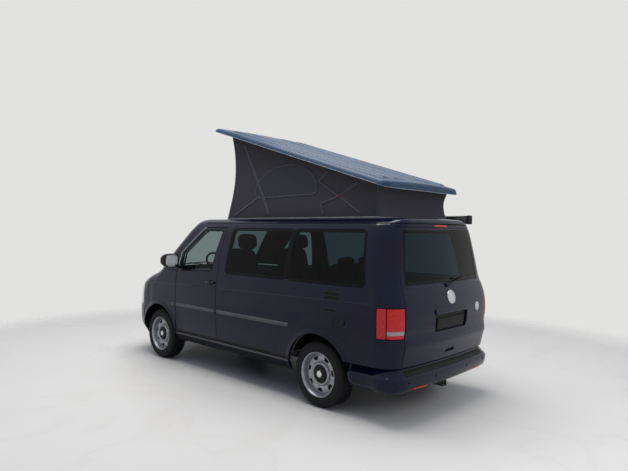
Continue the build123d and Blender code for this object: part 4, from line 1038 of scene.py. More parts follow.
RIM_PROFILE = [(0.2165, 0.090), (0.2225, 0.098), (0.2275, 0.1045), (0.2270, 0.1085), (0.2215, 0.1085),
               (0.2180, 0.103), (0.2120, 0.094), (0.2065, 0.080), (0.2045, 0.060), (0.2035, 0.046)]
HUB_PROFILE = [(0.122, 0.052), (0.116, 0.066), (0.108, 0.071), (0.100, 0.071), (0.094, 0.067), (0.090, 0.060)]
CAP_PROFILE = [(0.088, 0.058), (0.085, 0.071), (0.078, 0.077), (0.060, 0.081), (0.034, 0.0825)]
BADGE_PROFILE = [(0.033, 0.0826), (0.031, 0.0855), (0.026, 0.0865), (0.0, 0.0868)]
BACK_PROFILE = [(0.2035, 0.046), (0.2035, -0.098), (0.216, -0.098), (0.216, -0.088)]
DRUM_PROFILE = [(0.190, 0.030), (0.150, 0.034), (0.080, 0.040)]
INNER_PIECES = [("ring", HUB_PROFILE, 72, RIM, "rim_silver"), ("cap", CAP_PROFILE, 72, PLASTIC, None),
                ("centre", BADGE_PROFILE, 48, CHROME, None), ("back", BACK_PROFILE, 72, STEEL, None),
                ("drum", DRUM_PROFILE, 48, STEEL, None)]
OPENINGS, OPENING_IN, OPENING_OUT, OPENING_TURN = 7, 0.142, 0.192, 0.25
DISC_IN, DISC_OUT, DISC_Y, DISC_DISH = 0.118, 0.204, 0.050, 0.012


def disc_face(x, hand):
    """The wheel disc with seven openings, drawn flat and then dished."""
    outer, hub = ([(radius * math.cos(a), radius * math.sin(a)) for a in full_turn(count)]
                  for radius, count in ((DISC_OUT, 96), (DISC_IN, 64)))
    holes = [hub]
    for index in range(OPENINGS):
        middle = 2 * math.pi * index / OPENINGS + OPENING_TURN
        corners = [(OPENING_IN, -0.17), (OPENING_IN, 0.17), (OPENING_OUT, 0.235), (OPENING_OUT, -0.235)]
        holes.append(rounded([(r * math.cos(middle + t), r * math.sin(middle + t)) for r, t in corners],
                             0.014))

    def dished(u, v):
        radius = np.hypot(u, v)
        turn = np.clip((radius - DISC_IN) / (DISC_OUT - DISC_IN), 0, 1) * math.pi
        out = DISC_Y + DISC_DISH * np.sin(turn)
        slope = DISC_DISH * np.cos(turn) * math.pi / (DISC_OUT - DISC_IN)
        points = np.stack([x + u, hand * (WHEEL_Y + out), WHEEL_Z + v], 1)
        normals = np.stack([-slope * u / radius, np.full(len(u), float(hand)), -slope * v / radius], 1)
        return points, normals / np.linalg.norm(normals, axis=1)[:, None]

    return skin(np.array(outer), None, holes, step=0.016, edge=0.004, depth=0.012, surface=dished)


for end, x in AXLES:
    for name, hand in SIDES:
        body = f"wheel_{end}_{name}"
        points, faces = tyre(x, hand)
        publish(f"tyre_{end}_{name}_dressed", points, faces, RUBBER, body, replaces=f"tyre_{end}_{name}",
                slot="tyre_rubber")
        publish_turned(f"rim_{end}_{name}_barrel", RIM_PROFILE, 96, x, hand, RIM, body,
                       replaces=f"rim_{end}_{name}", slot="rim_silver")
        put(f"rim_{end}_{name}_disc", disc_face(x, hand), RIM, body, slot="rim_silver")
        for piece, profile, count, finish, slot in INNER_PIECES:
            publish_turned(f"rim_{end}_{name}_{piece}", profile, count, x, hand, finish, body, slot=slot)


# Small parts that follow the body's surface

def on_body(way, z, lift=0.0):
    """Places on the body at ways round it and heights, lifted off its surface."""
    way, z = np.broadcast_arrays(np.array(way, float), np.array(z, float))
    points, normals = cast(*around(way.ravel(), z.ravel()))
    return points + normals * np.broadcast_to(np.array(lift, float), way.shape).ravel()[:, None]


def turned(points, hand):
    return np.array(points) * np.array([1, hand, 1])


def plate(name, way_range, z_range, finish, body, lift=0.004, depth=0.008, radius=0.008, hand=1, edge=0.003,
          step=0.03):
    """A thin plate lying on the body between two ways and two heights."""
    outline = rounded(rectangle(*sorted(way_range), *z_range), radius)
    made = skin(inset(outline, edge), around, step=step, lift=lift, edge=edge, depth=depth)
    put(name, handed(made, hand), finish, body)


def side_plate(name, x_range, z_range, finish, body, **more):
    """A plate on the side, between two places along X."""
    plate(name, [along(x) for x in x_range], z_range, finish, body, **more)


def rod(name, path, radius, finish, body, squash_by=1.0, hand=1, count=10):
    publish(name, *sweep(turned(path, hand), circle(radius, count, squash_by)), finish, body)


def button(name, way, z, rings, finish, body, count=40):
    """A turned disc on the body's surface: rings are (radius, lift) from the rim inwards."""
    rows = []
    angles = full_turn(count)
    for radius, lift in rings:
        rows.append(on_body(way + radius * np.cos(angles), z + radius * np.sin(angles), lift))
    points, faces = net(rows, closed=True, hand=1)
    outward = cast(*around(np.array([way]), np.array([z])))[1]
    faces = facing_out(points, faces, np.repeat(outward, len(points), 0))
    publish(name, points, faces, finish, body)


STRIP_Z, STRIP_EDGE, STRIP_ROUND, STRIP_END_ROUND = (0.768, 0.812), 0.013, 0.012, 0.02
SIDE_STRIPS = {1: [("side_left", (-1.044, 0.222), STRIP_END_ROUND)],
               -1: [("slider", (-0.946, 0.176), STRIP_ROUND), ("side_right", (-1.044, -0.974), STRIP_ROUND)]}
HANDLE_X = np.array([0.428, 0.424, 0.40, 0.36, 0.32, 0.290, 0.286])
HANDLE_LIFT = np.array([0.0, 0.022, 0.031, 0.033, 0.031, 0.022, 0.0])
HANDLE_Z, HANDLE_SQUASH, SLIDER_HANDLE_BACK = 1.135, 0.75, 0.27
VENTS = [("upper", (-1.735, -1.542), (1.160, 1.195)), ("middle", (-1.735, -1.542), (1.117, 1.152)),
         ("lower", (-1.72, -1.56), (0.995, 1.025))]
SLAT_INSET, SLAT_PITCH, SLAT_HEIGHT = 0.008, 0.012, 0.006


# Rub strips take the lighter strip paint: painted sheen where light falls on their tops.
def rub_strip(name, x_range, body, hand, radius):
    side_plate(f"rub_strip_{name}", x_range, STRIP_Z, STRIP_SHEEN_PAINT, body, lift=STRIP_EDGE, depth=0.006,
               radius=radius, hand=hand, edge=STRIP_EDGE)


for name, hand in SIDES:
    rub_strip(f"door_{name}", (0.258, 1.118), f"door_{name}", hand, STRIP_ROUND)
    rub_strip(f"wing_{name}", (1.146, 1.235), "body", hand, STRIP_END_ROUND)
    for place, x_range, radius in SIDE_STRIPS[hand]:
        rub_strip(place, x_range, "body", hand, radius)
    cup = skin(rounded(on_side(rectangle(0.305, 0.412, 1.098, 1.166)), 0.03), around, step=0.02, lift=0.0005,
               edge=0.001, depth=0.001)
    put(f"handle_cup_{name}", handed(cup, hand), BLACK_GLOSS, f"door_{name}")
    rod(f"handle_{name}", on_body(along(HANDLE_X), HANDLE_Z, HANDLE_LIFT), 0.016, PAINT, f"door_{name}",
        squash_by=HANDLE_SQUASH, hand=hand, count=12)
rod("handle_slider", on_body(along(HANDLE_X - SLIDER_HANDLE_BACK), HANDLE_Z, HANDLE_LIFT), 0.013, PAINT,
    "body", squash_by=HANDLE_SQUASH, hand=-1, count=12)
side_plate("slider_track", (-2.03, -0.99), (1.196, 1.216), BLACK_GLOSS, "body", lift=0.001, depth=0.004,
           hand=-1, edge=0.002)
for name, (rear, front), (foot, head) in VENTS:
    side_plate(f"vent_{name}", (rear, front), (foot, head), PLASTIC, "body", lift=0.003, depth=0.006)
    for index in range(2):
        low = foot + SLAT_INSET + index * SLAT_PITCH
        side_plate(f"vent_{name}_slat_{index}", (rear + SLAT_INSET, front - SLAT_INSET),
                   (low, low + SLAT_HEIGHT), BLACK_GLOSS, "body", lift=0.006, depth=0.005, radius=0.002,
                   edge=0.0015, step=0.05)
INLET_DISC = [(0.026, 0.0), (0.026, 0.008), (0.023, 0.012), (0.012, 0.013), (0.001, 0.013)]
button("inlet_cap", along(-1.800), 0.906, INLET_DISC, PLASTIC, "body", 28)


# Tail details

BADGE_Z, HUB_WAY, HUB_Z = 1.143, 0.03, 1.262
# Each plate's half width, heights, finish, lift, depth, corner radius and edge radius
GATE_PLATES = [("plate_back", 0.330, (0.812, 1.036), PLASTIC, -0.024, 0.004, 0.008, 0.003),
               ("plate_holder", 0.262, (0.836, 0.950), PLASTIC, -0.010, 0.014, 0.010, 0.003),
               ("plate_blank", 0.250, (0.847, 0.940), PLASTIC, -0.007, 0.004, 0.006, 0.003),
               ("gate_ledge", 0.318, (0.992, 1.046), PAINT, 0.014, 0.036, 0.020, 0.009),
               ("pull_back", 0.090, (0.588, 0.632), PLASTIC, -0.020, 0.004, 0.008, 0.003)]
BADGE_RING = [(0.070, 0.0), (0.070, 0.005), (0.066, 0.009), (0.059, 0.009), (0.056, 0.005)]
BADGE_DISC = [(0.057, 0.004), (0.050, 0.006), (0.030, 0.0085), (0.001, 0.0095)]
PATCH_DISC = [(0.047, 0.0), (0.0465, 0.0012), (0.02, 0.0014), (0.001, 0.0014)]
HUB_DISC = [(0.021, 0.0), (0.021, 0.018), (0.017, 0.024), (0.001, 0.025)]
for name, half, heights, finish, lift, depth, radius, edge in GATE_PLATES:
    plate(name, (-half, half), heights, finish, "tailgate", lift=lift, depth=depth, radius=radius, edge=edge)
button("badge_ring", 0.0, BADGE_Z, BADGE_RING, CHROME, "tailgate")
button("badge_disc", 0.0, BADGE_Z, BADGE_DISC, CHROME, "tailgate")
button("round_patch", -0.560, 1.000, PATCH_DISC, PALE_PATCH, "tailgate")
plate("high_brake_light", (-0.125, 0.125), (1.846, 1.864), RED_LENS, "body", lift=0.002, depth=0.004)
lip_heights = 1.266 - 0.012 * np.cos(np.linspace(-3, 3, 41)).clip(0)
rod("gate_lip", on_body(np.linspace(-0.70, 0.70, 41), lip_heights, -0.001), 0.007, PAINT, "tailgate")
arm = on_body(np.linspace(HUB_WAY, -0.33, 12), np.linspace(HUB_Z, 1.322, 12),
              [0.012] + [0.026] * 10 + [0.020])
rod("rear_wiper_arm", arm, 0.007, PLASTIC, "tailgate")
blade = on_body(np.linspace(-0.10, -0.56, 16), np.linspace(1.318, 1.335, 16), 0.010)
rod("rear_wiper_blade", blade, 0.006, PLASTIC, "tailgate", squash_by=1.5)
button("rear_wiper_hub", HUB_WAY, HUB_Z, HUB_DISC, PLASTIC, "tailgate", 24)


def on_bumper(way, share, out=0.0):
    """A place on the rear bumper: share runs over its form from the top step down."""
    form = np.array(BUMPER_FORM)
    at = share * (len(form) - 1)
    reach = np.interp(at, range(len(form)), form[:, 0])
    z = np.interp(at, range(len(form)), form[:, 1])
    return bumper_places(np.array(way, float), reach + out, z)[0]


pad = [on_bumper(np.linspace(-0.74, 0.74, 48), step / 11, out)
       for step, out in ((3.04, 0.0005), (3.08, 0.005), (3.5, 0.005), (3.92, 0.005), (3.96, 0.0005))]
publish("bumper_step_pad", *net(pad), PLASTIC, "body")
for index, way in enumerate((-0.72, -0.30, 0.30, 0.72)):
    middle = on_bumper([way], 0.62)[0]
    out = middle - on_bumper([way], 0.62, -0.01)[0]
    out /= np.linalg.norm(out)
    across = np.array([-out[1], out[0], 0])
    rows = [[middle + out * lift + (across * math.cos(a) + np.array([0, 0, 1]) * math.sin(a)) * radius
             for a in full_turn(20)]
            for radius, lift in ((0.013, 0.0), (0.0125, 0.003), (0.010, 0.004), (0.0005, 0.0042))]
    publish(f"parking_sensor_{index}", *net(rows, closed=True, hand=1), BLACK_GLOSS, "body")
for name, hand in SIDES:
    ways = np.linspace(0.445, 0.650, 10) * hand
    rows = [on_bumper(ways, share, out)
            for share, out in ((0.78, 0.001), (0.79, 0.004), (0.84, 0.004), (0.85, 0.001))]
    publish(f"rear_reflector_{name}", *net(rows, hand=hand), RED_LENS, "body")


# Nose details

# Each set of bars' heights, half width, half thickness, lift and finish
NOSE_BARS = [("grille_bar", (0.758, 0.812, 0.866), 0.512, 0.011, -0.006, BLACK_GLOSS),
             ("intake_bar", (0.440, 0.480), 0.56, 0.008, -0.012, PLASTIC)]
NOSE_DISC_Z = 0.812
for name, heights, half, thick, lift, finish in NOSE_BARS:
    for index, z in enumerate(heights):
        bar = skin(rectangle(-half, half, z - thick, z + thick), across_nose, step=0.04, lift=lift,
                   edge=0.004, depth=0.012)
        put(f"{name}_{index}", bar, finish, "body")
holder = skin(rounded(rectangle(-0.262, 0.262, 0.545, 0.658), 0.01), across_nose, step=0.04, lift=0.010,
              edge=0.003, depth=0.012)
put("front_plate_holder", holder, PLASTIC, "body")
nose_x = float(cast(*across_nose(np.array([0.01]), np.array([NOSE_DISC_Z])))[0][0][0])


def turned_x(name, place, profile, finish, body, count=40, hand=1):
    """A piece turned about a line along X: profile is (radius, forward)."""
    rows = [[(place[0] + ahead, hand * place[1] + radius * math.cos(a), place[2] + radius * math.sin(a))
             for a in full_turn(count)] for radius, ahead in profile]
    publish(name, *net(rows, closed=True, hand=1), finish, body)


NOSE_DISC = [(0.072, -0.02), (0.072, 0.003), (0.066, 0.008), (0.04, 0.010), (0.001, 0.011)]
BULB = [(0.012, -0.04), (0.012, 0.0), (0.008, 0.008), (0.001, 0.01)]
turned_x("nose_disc", (nose_x, 0, NOSE_DISC_Z), NOSE_DISC, CHROME, "body")
for name, hand in SIDES:
    for index, (y, z, radius) in enumerate(((0.640, 0.850, 0.062), (0.765, 0.855, 0.052))):
        x = 2.375 - NOSE_CROWN * y * y - 0.075 - index * 0.035
        bowl = [(radius, 0.03), (radius * 0.9, 0.0), (radius * 0.55, -0.03), (0.012, -0.04)]
        turned_x(f"headlamp_reflector_{index}_{name}", (x, y, z), bowl, CHROME, "body", hand=hand)
        turned_x(f"headlamp_bulb_{index}_{name}", (x, y, z), BULB, PALE_LENS, "body", count=16, hand=hand)


def wiper_rod(name, y_range, z_range, count, lift, radius, squash_by=1.0):
    points, normals = cast(*forward(np.linspace(*y_range, count), np.linspace(*z_range, count)))
    rod(name, points + normals * lift, radius, PLASTIC, "body", squash_by=squash_by)


for index, (y_low, y_high) in enumerate(((0.08, 0.66), (-0.58, 0.04))):
    wiper_rod(f"wiper_blade_{index}", (y_high, y_low), (1.262, 1.290), 18, 0.012, 0.006, 1.4)
    wiper_rod(f"wiper_arm_{index}", (y_low, (y_low + y_high) / 2), (1.238, 1.278), 8, 0.024, 0.007)


# Mirrors

MIRROR = (1.045, 1.3745)
MIRROR_HALF = (0.100, 0.092)
MIRROR_RINGS = [(1.090, 0.90), (1.078, 0.92), (1.070, 0.97), (1.074, 1.0), (1.095, 1.01), (1.13, 0.99, 0.002),
                (1.160, 0.93, 0.008), (1.183, 0.80, 0.020), (1.198, 0.66, 0.034), (1.208, 0.46, 0.042),
                (1.213, 0.22, 0.044), (1.214, 0.01, 0.044)]


def mirror_ring(x, scale, out=0.0, power=0.62, count=36):
    row = []
    for k in range(count):
        a = 2 * math.pi * k / count
        c, s = math.cos(a), math.sin(a)
        row.append((x, MIRROR[0] + out + MIRROR_HALF[0] * scale * math.copysign(abs(c) ** power, c),
                    MIRROR[1] + MIRROR_HALF[1] * scale * math.copysign(abs(s) ** power, s)))
    return row


for name, hand in SIDES:
    rows = [turned(mirror_ring(*ring), hand) for ring in MIRROR_RINGS]
    publish(f"mirror_shell_{name}", *net(rows, closed=True, hand=hand), BLACK_GLOSS, f"door_{name}",
            replaces=f"mirror_{name}", slot="black_plastic")
    # The mirror's face is pale grey: painted reflection.
    rows = [turned(mirror_ring(x, scale), hand)
            for x, scale in ((1.084, 0.905), (1.080, 0.88), (1.078, 0.5), (1.077, 0.01))]
    publish(f"mirror_glass_painted_reflection_{name}", *net(rows, closed=True, hand=-hand), MIRROR_REFLECTION_PAINT, f"door_{name}")
    foot = [(1.086, 0.905, 1.284), (1.088, 0.935, 1.289), (1.093, 0.965, 1.301), (1.100, 0.995, 1.320)]
    rod(f"mirror_foot_{name}", foot, 0.024, BLACK_GLOSS, f"door_{name}", squash_by=0.7, hand=hand, count=14)


# Seals behind the seams

def seal(name, outline, body, hand=1, lift=-0.021):
    rows = [on_body(*inset(outline, out).T, lift + (-0.004 if out else 0)) for out in (-0.022, 0.0, 0.022)]
    publish(name, *net([turned(row, hand) for row in rows], closed=True), PLASTIC, body)


for name, hand in SIDES:
    seal(f"door_seal_{name}", dense(door_points, OUTLINE_STEP), "body", hand)
seal("slider_seal", dense(slider_points, OUTLINE_STEP), "body", -1)
seal("tailgate_seal", dense(gate_points, OUTLINE_STEP), "body")


# Roof rails and awning

RAIL_Y, RAIL_Z = 0.706, ROOF_Z - ROOF_CROWN * 0.5 + 0.004
RAIL_FORM = [(-0.012, -0.006), (0.012, -0.006), (0.013, 0.006), (0.008, 0.010), (-0.008, 0.010),
             (-0.013, 0.006)]
AWNING_Y, AWNING_Z, AWNING_SHRINK = -0.790, 1.939, 0.96
rail_path = [(x, RAIL_Y, RAIL_Z) for x in np.linspace(-2.037, -0.061, 24)]
for name, hand in SIDES:
    publish(f"roof_rail_{name}", *sweep(turned(rail_path, hand), RAIL_FORM), RAIL_METAL, "body")
case = [(-0.044, -0.046), (-0.030, -0.050), (0.034, -0.048), (0.044, -0.036), (0.046, 0.030), (0.038, 0.046),
        (0.0, 0.050), (-0.036, 0.047), (-0.045, 0.034), (-0.046, 0.010), (-0.042, 0.006), (-0.042, -0.002),
        (-0.046, -0.006)]
points, faces = sweep([(x, AWNING_Y, AWNING_Z) for x in np.linspace(0.45, -2.19, 12)],
                      [(a * AWNING_SHRINK, b * AWNING_SHRINK) for a, b in case])
publish("awning_case", points, faces, AWNING_PAINT, "body", replaces="awning", slot="awning_paint")
for index, x in enumerate((-2.21, 0.444)):
    block(f"awning_cap_{index}", (x, -0.838, 1.888), (x + 0.026, -0.742, 1.990), 0.010, PLASTIC, "body")
for index, x in enumerate((-1.95, -0.87, 0.22)):
    block(f"awning_bracket_{index}", (x, -0.76, 1.893), (x + 0.06, -0.700, 1.925), 0.004, PLASTIC, "body")


# Raised roof

ROOF_BACK, ROOF_BACK_Z, ROOF_PITCH = -2.112, 2.2173, math.radians(17.2)
ROOF_LENGTH, ROOF_HALF, ROOF_CORNER, RIM_TOP = 2.924, 0.714, 0.10, 0.008
ROOF_DROOP, LINING_HEIGHT = 0.010, 0.007
# Each rib's foot and top on its inner side, then its top and foot on its outer side, from the roof's middle
MID_RIB, SIDE_RIB = (0.198, 0.218, 0.380, 0.402), (0.496, 0.520, 0.584, 0.610)
MID_RIB_RISE, SIDE_RIB_RISE = 0.011, 0.016
RIB_REAR_FOOT, RIB_REAR_TOP, RIB_FRONT_TOP, RIB_FRONT_FOOT = 0.12, 0.19, 0.36, 0.22
RIM_WIDTH = 0.052
PITCH_COS, PITCH_SIN = math.cos(ROOF_PITCH), math.sin(ROOF_PITCH)


def on_roof(s, y, h):
    """A place on the raised roof: s up its slope from the rear edge, y across, h above its underside."""
    s, y, h = np.broadcast_arrays(np.array(s, float), np.array(y, float), np.array(h, float))
    near_front = np.clip((s - ROOF_LENGTH + 0.5) / 0.5, 0, 1)
    h = h - ROOF_DROOP * near_front ** 2 * np.clip((h - RIM_TOP) / 0.05, 0, 1)
    return np.stack([ROOF_BACK + s * PITCH_COS - h * PITCH_SIN, y,
                     ROOF_BACK_Z + s * PITCH_SIN + h * PITCH_COS], -1)


def rim_distance(s, y):
    """Distance in from the roof's rim, a rectangle with rounded corners."""
    a = np.abs(s - ROOF_LENGTH / 2) - ROOF_LENGTH / 2 + ROOF_CORNER
    b = np.abs(y) - ROOF_HALF + ROOF_CORNER
    return ROOF_CORNER - np.hypot(np.maximum(a, 0), np.maximum(b, 0)) - np.minimum(np.maximum(a, b), 0)


def on_rib(y, rib):
    """1 on top of a rib and 0 beside it, smooth over its flanks."""
    inner_foot, inner_top, outer_top, outer_foot = rib
    return ramp(np.abs(y), inner_foot, inner_top) * ramp(outer_foot - np.abs(y), 0.0, outer_foot - outer_top)


def roof_height(s, y):
    """Height of the roof's top above its underside."""
    top = 0.050 + 0.004 * ramp(ROOF_LENGTH - s, 0.0, 0.35) + 0.016 * (1 - (y / ROOF_HALF) ** 2)
    ends = ramp(s, RIB_REAR_FOOT, RIB_REAR_TOP) * ramp(ROOF_LENGTH - s, RIB_FRONT_FOOT, RIB_FRONT_TOP)
    ribs = SIDE_RIB_RISE * on_rib(y, SIDE_RIB) + MID_RIB_RISE * on_rib(y, MID_RIB)
    rise = 1 - (1 - np.clip(rim_distance(s, y) / RIM_WIDTH, 0, 1)) ** 2.4
    return RIM_TOP + (top - RIM_TOP) * rise + ribs * ends


def roof_top(s, y):
    points = on_roof(s, y, roof_height(s, y))
    near = 0.0015
    across = on_roof(s, y + near, roof_height(s, y + near)) - on_roof(s, y - near, roof_height(s, y - near))
    up_slope = on_roof(s + near, y, roof_height(s + near, y)) - on_roof(s - near, y, roof_height(s - near, y))
    normals = np.cross(up_slope, across)
    return points, normals / np.linalg.norm(normals, axis=1)[:, None]


def roof_under(s, y):
    normals = np.tile([PITCH_SIN, 0.0, -PITCH_COS], (len(s), 1))
    return on_roof(s, y, np.full(len(s), LINING_HEIGHT)), normals


shell_edge = dense(rounded(rectangle(0, ROOF_LENGTH, -ROOF_HALF, ROOF_HALF), ROOF_CORNER * 1.3), OUTLINE_STEP)
rim_in = [0.0005, 0.003, 0.007, 0.012, 0.018, 0.025, 0.033, 0.042, RIM_WIDTH]
end_steps = np.array(rim_in + [0.065, 0.08, 0.10, RIB_REAR_FOOT])
slope_steps = np.concatenate([end_steps, np.linspace(RIB_REAR_FOOT, RIB_REAR_TOP, 7)[1:],
                              np.linspace(RIB_REAR_TOP, ROOF_LENGTH - RIB_FRONT_TOP, 44)[1:-1],
                              ROOF_LENGTH - np.linspace(RIB_FRONT_TOP, RIB_FRONT_FOOT, 9),
                              ROOF_LENGTH - np.linspace(RIB_FRONT_FOOT, end_steps[-1], 4)[1:],
                              ROOF_LENGTH - end_steps[::-1][1:]])
rim_steps = ROOF_HALF - np.array(rim_in + [0.07])
half_steps = np.concatenate([[0, 0.07, 0.14], np.linspace(*MID_RIB[:2], 5), [0.26, 0.33],
                             np.linspace(*MID_RIB[2:], 5), [0.45], np.linspace(*SIDE_RIB[:2], 6), [0.55],
                             np.linspace(*SIDE_RIB[2:], 6), rim_steps[::-1]])
across_steps = np.concatenate([-half_steps[::-1], half_steps[1:]])
end_gap = np.clip(np.maximum(ROOF_CORNER - slope_steps, slope_steps - ROOF_LENGTH + ROOF_CORNER), 0,
                  ROOF_CORNER)
width_share = (ROOF_HALF - ROOF_CORNER + np.sqrt(ROOF_CORNER ** 2 - end_gap ** 2)) / ROOF_HALF
s_grid = np.repeat(slope_steps, len(across_steps))
y_grid = np.outer(width_share, across_steps).ravel()
points, normals = roof_top(s_grid, y_grid)
faces = net(points.reshape(len(slope_steps), len(across_steps), 3), hand=-1)[1]
put("pop_roof_shell", (points, normals, facing_out(points, faces, normals)), ROOF_PAINT, "pop_roof",
    replaces="pop_roof", slot="roof_paint")


def roof_band(name, rows, finish):
    """A band round the roof's rim: rows are (outset, height)."""
    made = [on_roof(*inset(shell_edge, -out).T, height) for out, height in rows]
    publish(name, *net(made, closed=True, hand=-1), finish, "pop_roof")


roof_band("pop_roof_rim", [(-0.004, 0.013), (0.001, 0.009), (0.0015, 0.006), (0.0015, 0.004)], ROOF_PAINT)
# The pale line under the rim is a painted highlight.
roof_band("pop_roof_highlight_line", [(0.0015, 0.004), (0.0035, 0.003), (0.0035, -0.001), (0.002, -0.002)], ROOF_LINE_HIGHLIGHT)
roof_band("pop_roof_seal", [(0.0, -0.002), (-0.003, -0.003), (-0.012, -0.002), (-0.03, 0.006)], PLASTIC)
roof_lining = skin(inset(shell_edge, 0.026), None, step=0.12, surface=roof_under, edge=0.001, depth=0.001)
put("pop_roof_lining", roof_lining, LINING, "pop_roof")


# Bellows: four walls of cloth between the roof opening and the raised roof

CLOTH_LOW, CLOTH_HALF = 1.923, 0.638
CLOTH_REAR, CLOTH_FRONT = -2.018, 0.458
cloth_front = smooth_curve([(0, CLOTH_FRONT), (0.15, 0.415), (0.3, 0.372), (0.58, 0.322), (0.8, 0.335),
                            (1, 0.382)])


def cloth_rear(v):
    return CLOTH_REAR + 0.038 * np.sin(math.pi * np.clip(v, 0, 1))


def cloth_top(x):
    return ROOF_BACK_Z + (x - ROOF_BACK) * math.tan(ROOF_PITCH) - 0.002


def cloth_sag(x, y, v):
    """How far the cloth stands in from its frame, with slack folds between its edges."""
    fold = np.sin(7.3 * x + 3.1 * v) * np.sin(3.7 * y + 5.2 * v + 0.8) + 0.5 * np.sin(17 * x - 9 * v + 4 * y)
    return np.sin(math.pi * np.clip(v, 0, 1)) * (0.012 + 0.0035 * fold)


def cloth_places(x, v):
    """Real X of a place given on the foot outline, at share v of the height."""
    return cloth_rear(v) + (x - CLOTH_REAR) / (CLOTH_FRONT - CLOTH_REAR) * (cloth_front(v) - cloth_rear(v))


foot = dense(rounded(rectangle(CLOTH_REAR, CLOTH_FRONT, -CLOTH_HALF, CLOTH_HALF), 0.05), 0.035)
heads = cloth_top(cloth_places(foot[:, 0], 1.0))
cloth_rows = []
for v in np.linspace(0, 1, 30):
    ring = inset(foot, cloth_sag(foot[:, 0], foot[:, 1], v))
    cloth_rows.append(np.stack([cloth_places(ring[:, 0], v), ring[:, 1], CLOTH_LOW + v * (heads - CLOTH_LOW)],
                               1))
points, faces = net(cloth_rows, closed=True, hand=1)
bellows = publish("bellows", points, faces, CLOTH, "body", replaces="roof_bellows", slot="tent_fabric")


def on_cloth(x, z):
    """Places and outward normals on the left wall of the cloth."""
    head = cloth_top(x)
    v = (z - CLOTH_LOW) / (head - CLOTH_LOW)
    base = CLOTH_REAR + (x - cloth_rear(v)) / (cloth_front(v) - cloth_rear(v)) * (CLOTH_FRONT - CLOTH_REAR)
    y = CLOTH_HALF - cloth_sag(base, np.full(len(x), CLOTH_HALF), v)
    return np.stack([x, y, z], 1), np.tile([0.0, 1.0, 0.0], (len(x), 1))


def webbing(name, line, width, closed=False, finish=SEAM_CLOTH, lift=0.0035):
    """A flat tape sewn to both side walls along a line of (x, z) points."""
    line = dense(line, 0.03, closed)
    if closed:
        line = np.concatenate([line, line[:1]])
    run = np.gradient(line, axis=0)
    run /= np.linalg.norm(run, axis=1)[:, None]
    across = np.stack([-run[:, 1], run[:, 0]], 1)
    rows = []
    for share, rise in ((-0.5, 0.0), (-0.46, lift), (0.0, lift + 0.001), (0.46, lift), (0.5, 0.0)):
        place = line + across * width * share
        points, normals = on_cloth(place[:, 0], place[:, 1])
        rows.append(points + normals * (rise + 0.001))
    pieces = []
    for side, hand in SIDES:
        points, faces = net([turned(row, hand) for row in rows], hand=hand)
        pieces.append(publish(f"{name}_{side}", points, faces, finish, "body"))
    return pieces


dome = np.linspace(0.02, math.pi - 0.02, 40)
dome_points = [(-0.618 + 0.512 * math.cos(a), 2.205 + (0.338 - 0.03 * math.cos(a)) * math.sin(a) ** 0.85)
               for a in dome]
window_line = rounded(dome_points + [(-1.075, 2.192), (-0.361, 2.178), (-0.150, 2.176)],
                      [0] * len(dome) + [0.03, 0, 0.03])
cloth_window = skin(window_line, None, surface=on_cloth, step=0.06, lift=0.0015, edge=0.001, depth=0.001)
cloth_pieces = [put(f"bellows_window_{name}", handed(cloth_window, hand), MESH_CLOTH, "body")
                for name, hand in SIDES]
CROSSING = (-1.440, 2.159)
front_seam_line = [(float(cloth_front(v)) - 0.055, CLOTH_LOW + v * 1.02) for v in np.linspace(0.02, 0.94, 12)]
cloth_pieces += webbing("window_seam", window_line, 0.016, closed=True)
cloth_pieces += webbing("front_strap", [(0.103, 2.845), (-0.354, 1.975)], 0.040)
cloth_pieces += webbing("low_strap", [(0.290, 1.965), (-0.199, 2.202)], 0.030)
cloth_pieces += webbing("cross_strap_a", [(-1.294, 2.428), (-1.156, 2.330), CROSSING, (-1.745, 1.972)], 0.024)
cloth_pieces += webbing("cross_strap_b", [(-1.715, 2.291), CROSSING, (-1.189, 2.085), (-1.228, 1.972)], 0.024,
                        lift=0.0045)
cloth_pieces += webbing("cross_tag", [(-1.425, 2.159), (-1.455, 2.159)], 0.034, finish=RED_TAG, lift=0.008)
cloth_pieces += webbing("front_corner_seam", front_seam_line, 0.010, lift=0.002)
cloth_pieces += webbing("rear_corner_seam", [(-1.960, 1.935), (-1.945, 2.09), (-1.962, 2.245)], 0.010,
                        lift=0.002)
clamp_rows = [np.column_stack([inset(foot, -out), np.full(len(foot), z)])
              for out, z in ((0.004, 1.916), (0.006, 1.920), (0.006, 1.933), (0.003, 1.936))]
publish("bellows_clamp", *net(clamp_rows, closed=True, hand=1), RAIL_METAL, "body")
for piece in [bellows] + cloth_pieces:
    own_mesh(piece)


# Linings behind the outer panels

LINING_GAP, LINING_HOLE_GROW, LINING_EDGE = 0.03, -0.012, 0.004


def lining(outline, holes, step, lift):
    """A panel behind an outer one, facing into the cabin, with holes a little larger than the windows'."""
    grown = [inset(hole, LINING_HOLE_GROW) for hole in holes]
    return inward(skin(outline, around, grown, step=step, lift=lift, edge=LINING_EDGE, depth=LINING_EDGE))


GRIP_X, GRIP_LIFT = np.array([0.45, 0.47, 0.60, 0.73, 0.75]), [-0.05, -0.085, -0.095, -0.085, -0.05]
lining_points = on_side([(0.254, 0.490), (1.094, 0.490), (1.094, 1.236), (1.060, 1.484), (0.694, 1.800),
                         (0.254, 1.800)])
door_lining = lining(dense(lining_points, OUTLINE_STEP), [door_hole], 0.06, -0.050)
side_lining = lining(cut(side_front + tail_end, LINING_GAP), [mid_hole, rear_hole], 0.07, -0.055)
gate_lining = lining(cut(gate_points, 0.009), [gate_hole], 0.07, -0.045)
for name, hand in SIDES:
    put(f"door_lining_{name}", handed(door_lining, hand), TRIM, f"door_{name}")
    put(f"side_lining_{name}", handed(side_lining, hand), LINING, "body")
    rod(f"door_grip_{name}", on_body(along(GRIP_X), 1.05, GRIP_LIFT), 0.014, PLASTIC, f"door_{name}",
        hand=hand)
put("tailgate_lining", gate_lining, TRIM, "tailgate")


# Seats

SEAT_Y, CABIN_FLOOR = 0.475, 0.562


